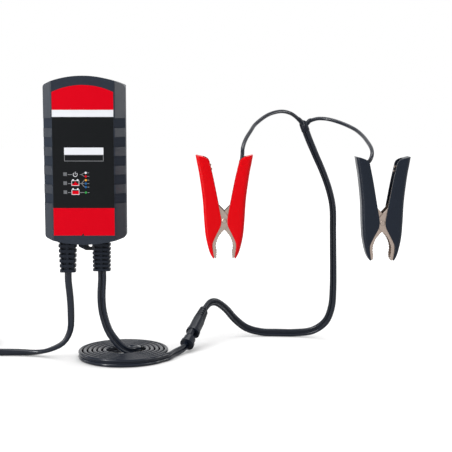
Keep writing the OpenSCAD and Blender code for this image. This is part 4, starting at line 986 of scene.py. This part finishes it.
def u_line(open_x, back_x, depth, corner, dome, steps=9):
    """Round a U from one open edge to the other, for each height, as x and y.

    A side rises from its open edge to full depth with the square of the way left, then turns a quarter
    circle into the back; the second half mirrors the first.
    """
    corner = np.clip(corner, 0, np.maximum(back_x - open_x, SIDE_LEAST) * CORNER_MOST)[:, None]
    open_x, back_x, depth = open_x[:, None], back_x[:, None], depth[:, None]
    way = np.linspace(0, SIDE_SHARE, 5)[None]
    turn = np.radians(np.linspace(90, 0, steps))[None]
    x = np.concatenate([open_x + (back_x - corner - open_x) * way,
                        back_x - corner + corner * np.cos(turn)], 1)
    y = np.concatenate([depth - dome * (1 - way) ** 2 + 0 * open_x,
                        depth - corner + corner * np.sin(turn)], 1)
    return np.concatenate([x, x[:, ::-1]], 1), np.concatenate([y, -y[:, ::-1]], 1)


def cover_shell(clip, side):
    """A handle's cover: at each height a U between its inner and outer line, closed at the top end."""
    clips = settings("clips")
    wall, corner, dome = clips.wall / MM, clips.corner / MM, clips.dome / MM
    heights = COVER_HEIGHTS
    back_x, open_x = at_height(COVER_OUTER, heights), at_height(COVER_INNER, heights)
    open_x = np.minimum(open_x, back_x - BACK_LEAST)
    depth = CLIP_DEPTH - TOP_THINNER * np.clip((heights - TOP_FROM) / THINNING_OVER, 0, 1) ** 3 \
        - TIP_THINNER * np.clip((TIP_FROM - heights) / THINNING_OVER, 0, 1) ** 2
    hollow_x = back_x - wall
    hollow_x = np.where(heights < COVER_CEILING, hollow_x, np.minimum(hollow_x, COVER_MOUTH_X))
    hollow_x = np.maximum(hollow_x, open_x + HOLLOW_LEAST)
    outside = u_line(open_x, back_x, depth, corner, dome)
    inside = u_line(open_x, hollow_x, depth - wall, corner - wall, dome)
    x = np.concatenate([outside[0], inside[0][:, ::-1]], 1)
    y = np.concatenate([outside[1], inside[1][:, ::-1]], 1)
    rings = np.stack([x, y, np.repeat(heights[:, None], x.shape[1], 1)], -1)
    rows, columns = x.shape
    edge = np.arange(columns // 2 - 1)
    cap = np.stack([edge, edge + 1, columns - 2 - edge, columns - 1 - edge], -1)
    faces = walls(rows, columns) + cap.tolist() + (cap + (rows - 1) * columns).tolist()
    return to_half(rings, clip, side).reshape(-1, 3), faces


def toothed_line():
    """The jaw's inner line; along its lower part the edge steps towards the other jaw in a saw tooth
    whose height is the share of a pitch travelled so far."""
    clips = settings("clips")
    curve = spline(STEEL_INNER, 16)
    travelled = np.concatenate([[0], np.cumsum(np.linalg.norm(np.diff(curve, axis=0), axis=1))])
    toothed = (curve[:, 1] > TEETH_FROM) & (curve[:, 1] < TEETH_TO)
    saw = np.mod(travelled * MM / clips.tooth_pitch, 1.0)
    curve[:, 0] -= clips.tooth / MM * np.where(toothed, saw, 0)
    return curve


def steel_shell(clip, side, moving):
    """A stamped channel: two plates, the web along their outer edge, and the rib that ends in a crimp,
    or in two small empty wings on the half without a lead."""
    plate = OUTER_PLATE if moving else INNER_PLATE
    back = spline(np.array(COVER_OUTER[1:]) - [settings("clips").wall / MM + COVER_PLAY, 0], 6)
    outline = np.concatenate([back, toothed_line()])
    web = np.concatenate([back, (back - [STEEL, 0])[::-1]])
    shells = [prism(outline, plate - STEEL, plate), prism(outline, -plate, STEEL - plate),
              prism(web, STEEL - plate - WEB_ROOT, plate - STEEL + WEB_ROOT), prism(RIB, -RIB_HALF, RIB_HALF)]
    along = unit(CRIMP_MOUTH - CRIMP_FOOT)
    if moving:
        for way in WINGS:
            x, z = CRIMP_MOUTH - along * way - [WING_ASIDE, 0]
            shells.append(prism(disc((x, z), WING_RADIUS, 12), -WING_HALF, WING_HALF))
            stem = oblong(x, z - STEM_THICK_HALF, x + WING_STEM, z + STEM_THICK_HALF)
            shells.append(prism(stem, -STEM_HALF, STEM_HALF))
    else:
        across = np.array([along[1], -along[0]])
        shells.append(crimp_shell(along, across))
    return joined([(to_half(points, clip, side), faces) for points, faces in shells])


def crimp_shell(along, across, count=20):
    """A rolled barrel round the lead: outer and inner circle at both ends, pinched at the middle."""
    way = np.array([0, 0.12, 0.42, 0.58, 0.88, 1.0])
    pinch = np.array([0, 0, 0.25, 0.25, 0, 0])
    angle = np.linspace(0, 2 * np.pi, count, endpoint=False)
    run = np.linalg.norm(CRIMP_MOUTH - CRIMP_FOOT)
    line = [(w, CRIMP_OUTER - p) for w, p in zip(way, pinch)] + [(w, CRIMP_INNER) for w in way[::-1]]
    flat = np.array([[*(CRIMP_FOOT + along * run * w), r] for w, r in line])
    x = flat[:, None, 0] + flat[:, None, 2] * np.cos(angle) * across[0]
    z = flat[:, None, 1] + flat[:, None, 2] * np.cos(angle) * across[1]
    y = flat[:, None, 2] * np.sin(angle)
    return np.stack([x, y, z], -1).reshape(-1, 3), walls(len(flat), count, closed=True)


def rivet_shell(clip):
    """Shank with a domed head at each end, turned about its axis: the dome is a circle's cap stretched to
    its rise, less a bell curve for the dimple in its middle."""
    seat, rise, rim, head, shank = OUTER_PLATE + 0.05, 0.7, 0.18, 1.95, 1.45
    dimple, dimple_r, slope = 0.3, 0.45, 78
    angle = np.radians(np.linspace(0, slope, 9))
    dome_r = head * np.sin(angle) / math.sin(angle[-1])
    dome_y = seat + rim + (rise - rim) * (np.cos(angle) - math.cos(angle[-1])) / (1 - math.cos(angle[-1]))
    dome_y -= dimple * np.exp(-(dome_r / dimple_r) ** 2)
    top = np.concatenate([np.stack([dome_r, dome_y], -1), [[head, seat], [shank, seat]]])
    profile = np.concatenate([top, (top * [1, -1])[::-1]])
    points, faces = revolve(profile)
    return points + CLIPS[clip][0], faces


def spring_shell(clip):
    """Torsion spring: a helix round the rivet that leaves at a tangent into a straight leg up each
    handle. Returns its shell and its half length along the rivet."""
    turn = math.radians(CLIPS[clip][2])
    leg = np.array([SPRING_LEG[0] * math.cos(turn) - SPRING_LEG[1] * math.sin(turn),
                    SPRING_LEG[0] * math.sin(turn) + SPRING_LEG[1] * math.cos(turn)])
    start = 180 - math.degrees(math.atan2(leg[1], leg[0])) \
        + math.degrees(math.acos(SPRING_RADIUS / np.linalg.norm(leg)))
    turned = 540 - 2 * start + 360 * SPRING_TURNS
    half = (2 * SPRING_WIRE + SPRING_GAP) * turned / 720
    share = np.linspace(0, 1, int(turned / SPRING_STEP) + 1)
    angle = np.radians(start + turned * share)
    helix = np.stack([SPRING_RADIUS * np.cos(angle), half * (2 * share - 1),
                      SPRING_RADIUS * np.sin(angle)], -1)
    way = np.linspace(0, LEG_SHARE, 9)[:, None]
    first, last = np.array([-leg[0], -half, leg[1]]), np.array([leg[0], half, leg[1]])
    path = np.concatenate([first + (helix[0] - first) * way, helix, (last + (helix[-1] - last) * way)[::-1]])
    points, faces = sweep(path, Y_AXIS, flat_section(2 * SPRING_WIRE, 2 * SPRING_WIRE, 10))
    return (points + CLIPS[clip][0], faces), half


def put_clip(clip):
    """One battery clip: two steel halves in their covers, the rivet and the spring."""
    pivot, lead_side, _ = CLIPS[clip]
    moving_body = f"{clip} clip half"
    for part, side, body in (("fixed", lead_side, "clip lead"), ("moving", -lead_side, moving_body)):
        cover = put_mesh(f"{clip}_cover_{part}", cover_shell(clip, side), f"grip_{clip}", body,
                         angle=55, replaces=(f"{clip}_grip_{part}",))
        round_edges(cover, COVER_EDGE * MM, segments=2, angle=50)
        steel = put_mesh(f"{clip}_steel_{part}", steel_shell(clip, side, part == "moving"), "jaw_steel",
                         body, angle=30, replaces=(f"{clip}_jaw_{part}",))
        round_edges(steel, STEEL_EDGE * MM, segments=1, angle=60)
    put_mesh(f"{clip}_pivot_rivet", rivet_shell(clip), "jaw_steel", "clip lead", angle=40,
             replaces=(f"{clip}_rivet",))
    shell, half = spring_shell(clip)
    spring = put_mesh(f"{clip}_torsion_spring", shell, "spring_steel", None, angle=60,
                      replaces=(f"{clip}_spring",))
    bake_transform(spring)


# ---------- Stage ----------

CAMERA_PLACE = (109.085, -852.382, 112.342)
CAMERA_TILT = 83.5
LENS, SENSOR = 85.0, 36.0
# What the lamps point at and half the floor's width, in metres
AIM, FLOOR_REACH = (0.1, 0.0, 0.02), 4.0
FLOOR_UNDER = 0.1
# Each lamp: the setting of its power, its place, width and height in metres
LAMPS = {"Key": ("key", (-0.75, -0.8, 1.0), 0.7, 0.9),
         "Fill": ("fill", (1.3, -0.6, 0.5), 0.5, 1.0),
         "Top": ("top", (0.1, 0.25, 1.1), 1.0, 0.5),
         "Left": ("left", (-1.2, 0.4, 0.3), 0.3, 0.4),
         "Right": ("right", (1.3, 0.05, 0.2), 0.3, 0.45),
         "Front left": ("streak", (-0.85, -0.9, 0.1), 0.12, 0.9)}


def put_camera():
    """The main view: a little above the object and in front of it, with a long lens."""
    lens = bpy.data.cameras.new("Camera")
    lens.lens, lens.sensor_width = LENS, SENSOR
    camera = bpy.data.objects.new("Camera", lens)
    camera.location = np.array(CAMERA_PLACE) * MM
    camera.rotation_euler = (math.radians(CAMERA_TILT), 0, 0)
    bpy.context.scene.collection.objects.link(camera)
    bpy.context.scene.camera = camera
    bpy.context.view_layer.update()


def background_rays(tree):
    """1 for rays from the camera, off a gloss or through a clear piece: these see the background."""
    rays = add_node(tree, "ShaderNodeLightPath").outputs
    either = add_node(tree, "ShaderNodeMath", {"operation": "MAXIMUM"},
                      {0: rays["Is Camera Ray"], 1: rays["Is Glossy Ray"]}).outputs[0]
    return add_node(tree, "ShaderNodeMath", {"operation": "MAXIMUM"},
                    {0: either, 1: rays["Is Transmission Ray"]}).outputs[0]


def floor_paper():
    """Pale paper: it keeps the shadows, and its glow grows away from the object into plain white. Ambient
    occlusion dims the glow right under the object and between its parts: a painted contact shadow."""
    paper = empty_material("Pale paper floor")
    tree = paper.node_tree
    place = add_node(tree, "ShaderNodeTexCoord").outputs["Object"]
    far = add_node(tree, "ShaderNodeVectorMath", {"operation": "LENGTH"}, {0: place}).outputs["Value"]
    open_glow = add_node(tree, "ShaderNodeMapRange",
                         {"From Min": 0.3, "From Max": 0.9, "To Min": 0.56, "To Max": 1.0},
                         {"Value": far}).outputs["Result"]
    # Painted contact shadow: the glow is multiplied by ambient occlusion, so it darkens where parts come near the
    # floor
    painted_contact_shade = add_node(tree, "ShaderNodeAmbientOcclusion", {"Distance": 0.03, "samples": 8}).outputs["AO"]
    strength = add_node(tree, "ShaderNodeMath", {"operation": "MULTIPLY"},
                        {0: open_glow, 1: painted_contact_shade}).outputs[0]
    matt = add_node(tree, "ShaderNodeBsdfDiffuse", {"Color": (0.5, 0.5, 0.5, 1)}).outputs[0]
    glow = add_node(tree, "ShaderNodeEmission", {"Color": (1, 1, 1, 1)}, {"Strength": strength}).outputs[0]
    lit = add_node(tree, "ShaderNodeAddShader", {}, {0: matt, 1: glow}).outputs[0]
    both = add_node(tree, "ShaderNodeMixShader", {}, {0: background_rays(tree), 1: matt, 2: lit}).outputs[0]
    add_node(tree, "ShaderNodeOutputMaterial", {}, {"Surface": both})
    return paper


def put_floor():
    """A flat square just under the object, far wider than the view."""
    mesh = bpy.data.meshes.new("floor")
    reach, low = FLOOR_REACH, (box("output_coil")[0][2] - FLOOR_UNDER) * MM
    corners = [(-reach, -reach, low), (reach, -reach, low), (reach, reach, low), (-reach, reach, low)]
    mesh.from_pydata(corners, [], [(0, 1, 2, 3)])
    mesh.materials.append(floor_paper())
    floor = bpy.data.objects.new("floor", mesh)
    bpy.context.scene.collection.objects.link(floor)


def put_lamp(name, place, power, width, height):
    """A soft rectangular lamp turned to the object."""
    lamp = bpy.data.lights.new(name, "AREA")
    lamp.shape = "RECTANGLE"
    lamp.size, lamp.size_y = width, height
    lamp.energy = power
    made = bpy.data.objects.new(name, lamp)
    made.location = place
    towards = np.array(AIM) - np.array(place)
    level = math.hypot(towards[0], towards[1])
    made.rotation_euler = (math.atan2(level, -towards[2]), 0, math.atan2(-towards[0], towards[1]))
    bpy.context.scene.collection.objects.link(made)


def put_world():
    """White surroundings: plain white where they are seen, and dimmer as the light they give."""
    world = bpy.data.worlds.new("Studio")
    world.use_nodes = True
    tree = world.node_tree
    tree.nodes.clear()
    soft = add_node(tree, "ShaderNodeBackground", {"Strength": settings("stage").sky, "Color": (1, 1, 1, 1)})
    white = add_node(tree, "ShaderNodeBackground", {"Strength": 1.0, "Color": (1, 1, 1, 1)})
    both = add_node(tree, "ShaderNodeMixShader", {},
                    {0: background_rays(tree), 1: soft.outputs[0], 2: white.outputs[0]})
    add_node(tree, "ShaderNodeOutputWorld", {}, {"Surface": both.outputs[0]})
    bpy.context.scene.world = world


def put_stage():
    """Floor, surroundings and lamps."""
    put_floor()
    put_world()
    for name, (power, place, width, height) in LAMPS.items():
        put_lamp(name, place, getattr(settings("stage"), power), width, height)
    bpy.context.scene.view_settings.view_transform = "Standard"


# ---------- Add-on ----------


class CHARGER_OT_camera(bpy.types.Operator):
    """Puts the camera in its place"""

    bl_idname = "charger.camera"
    bl_label = "Camera"

    def execute(self, context):
        put_camera()
        return {"FINISHED"}


class CHARGER_OT_case(bpy.types.Operator):
    """Makes both covers of the case"""

    bl_idname = "charger.case"
    bl_label = "Case"

    def execute(self, context):
        put_case()
        return {"FINISHED"}


class CHARGER_OT_panel_print(bpy.types.Operator):
    """Makes the front panel, its windows and its print"""

    bl_idname = "charger.panel_print"
    bl_label = "Front panel"

    def execute(self, context):
        put_panel()
        return {"FINISHED"}


class CHARGER_OT_reliefs(bpy.types.Operator):
    """Makes both strain reliefs"""

    bl_idname = "charger.reliefs"
    bl_label = "Strain reliefs"

    def execute(self, context):
        put_reliefs()
        return {"FINISHED"}


class CHARGER_OT_inside(bpy.types.Operator):
    """Finishes the board, its parts and the screws"""

    bl_idname = "charger.inside"
    bl_label = "Inside parts"

    def execute(self, context):
        keep_solid(*INSIDE)
        return {"FINISHED"}


class CHARGER_OT_plug(bpy.types.Operator):
    """Makes the mains plug and the cord tie"""

    bl_idname = "charger.plug"
    bl_label = "Plug and tie"

    def execute(self, context):
        put_plug()
        return {"FINISHED"}


class CHARGER_OT_connector(bpy.types.Operator):
    """Makes the in-line connector and the fork"""

    bl_idname = "charger.connector"
    bl_label = "Connector and fork"

    def execute(self, context):
        put_connector()
        return {"FINISHED"}


class CHARGER_OT_leads(bpy.types.Operator):
    """Makes the mains lead, the output lead and the clip leads"""

    bl_idname = "charger.leads"
    bl_label = "Leads"

    def execute(self, context):
        put_mains_lead()
        put_output_lead()
        put_clip_leads()
        return {"FINISHED"}


class CHARGER_OT_clips(bpy.types.Operator):
    """Makes the red and the black battery clip"""

    bl_idname = "charger.clips"
    bl_label = "Battery clips"

    def execute(self, context):
        for clip in CLIPS:
            put_clip(clip)
        return {"FINISHED"}


class CHARGER_OT_stage(bpy.types.Operator):
    """Makes the floor, the surroundings and the lamps"""

    bl_idname = "charger.stage"
    bl_label = "Stage"

    def execute(self, context):
        put_stage()
        return {"FINISHED"}


OPERATORS = (CHARGER_OT_camera, CHARGER_OT_case, CHARGER_OT_panel_print, CHARGER_OT_reliefs,
             CHARGER_OT_inside, CHARGER_OT_plug, CHARGER_OT_connector, CHARGER_OT_leads,
             CHARGER_OT_clips, CHARGER_OT_stage)
GROUPS = {"case": CaseSettings, "leads": LeadSettings, "clips": ClipSettings, "stage": StageSettings}


class CHARGER_PT_panel(bpy.types.Panel):
    """Lists the settings and the steps"""

    bl_label = "Battery charger"
    bl_idname = "CHARGER_PT_panel"
    bl_space_type = "VIEW_3D"
    bl_region_type = "UI"
    bl_category = "Charger"

    def draw(self, context):
        for group, kind in GROUPS.items():
            part = self.layout.box()
            part.label(text=group.capitalize())
            for key in kind.__annotations__:
                part.prop(settings(group), key)
        for operator in OPERATORS:
            self.layout.operator(operator.bl_idname)


def register():
    for kind in (*GROUPS.values(), *OPERATORS, CHARGER_PT_panel):
        bpy.utils.register_class(kind)
    for group, kind in GROUPS.items():
        setattr(bpy.types.Scene, "charger_" + group, bpy.props.PointerProperty(type=kind))


def unregister():
    for group in GROUPS:
        delattr(bpy.types.Scene, "charger_" + group)
    for kind in (CHARGER_PT_panel, *OPERATORS, *GROUPS.values()):
        bpy.utils.unregister_class(kind)


def main():
    register()
    bpy.ops.charger.camera()
    bpy.ops.charger.case()
    bpy.ops.charger.panel_print()
    bpy.ops.charger.reliefs()
    bpy.ops.charger.inside()
    bpy.ops.charger.plug()
    bpy.ops.charger.connector()
    bpy.ops.charger.leads()
    bpy.ops.charger.clips()
    bpy.ops.charger.stage()


if __name__ == "__main__":
    main()
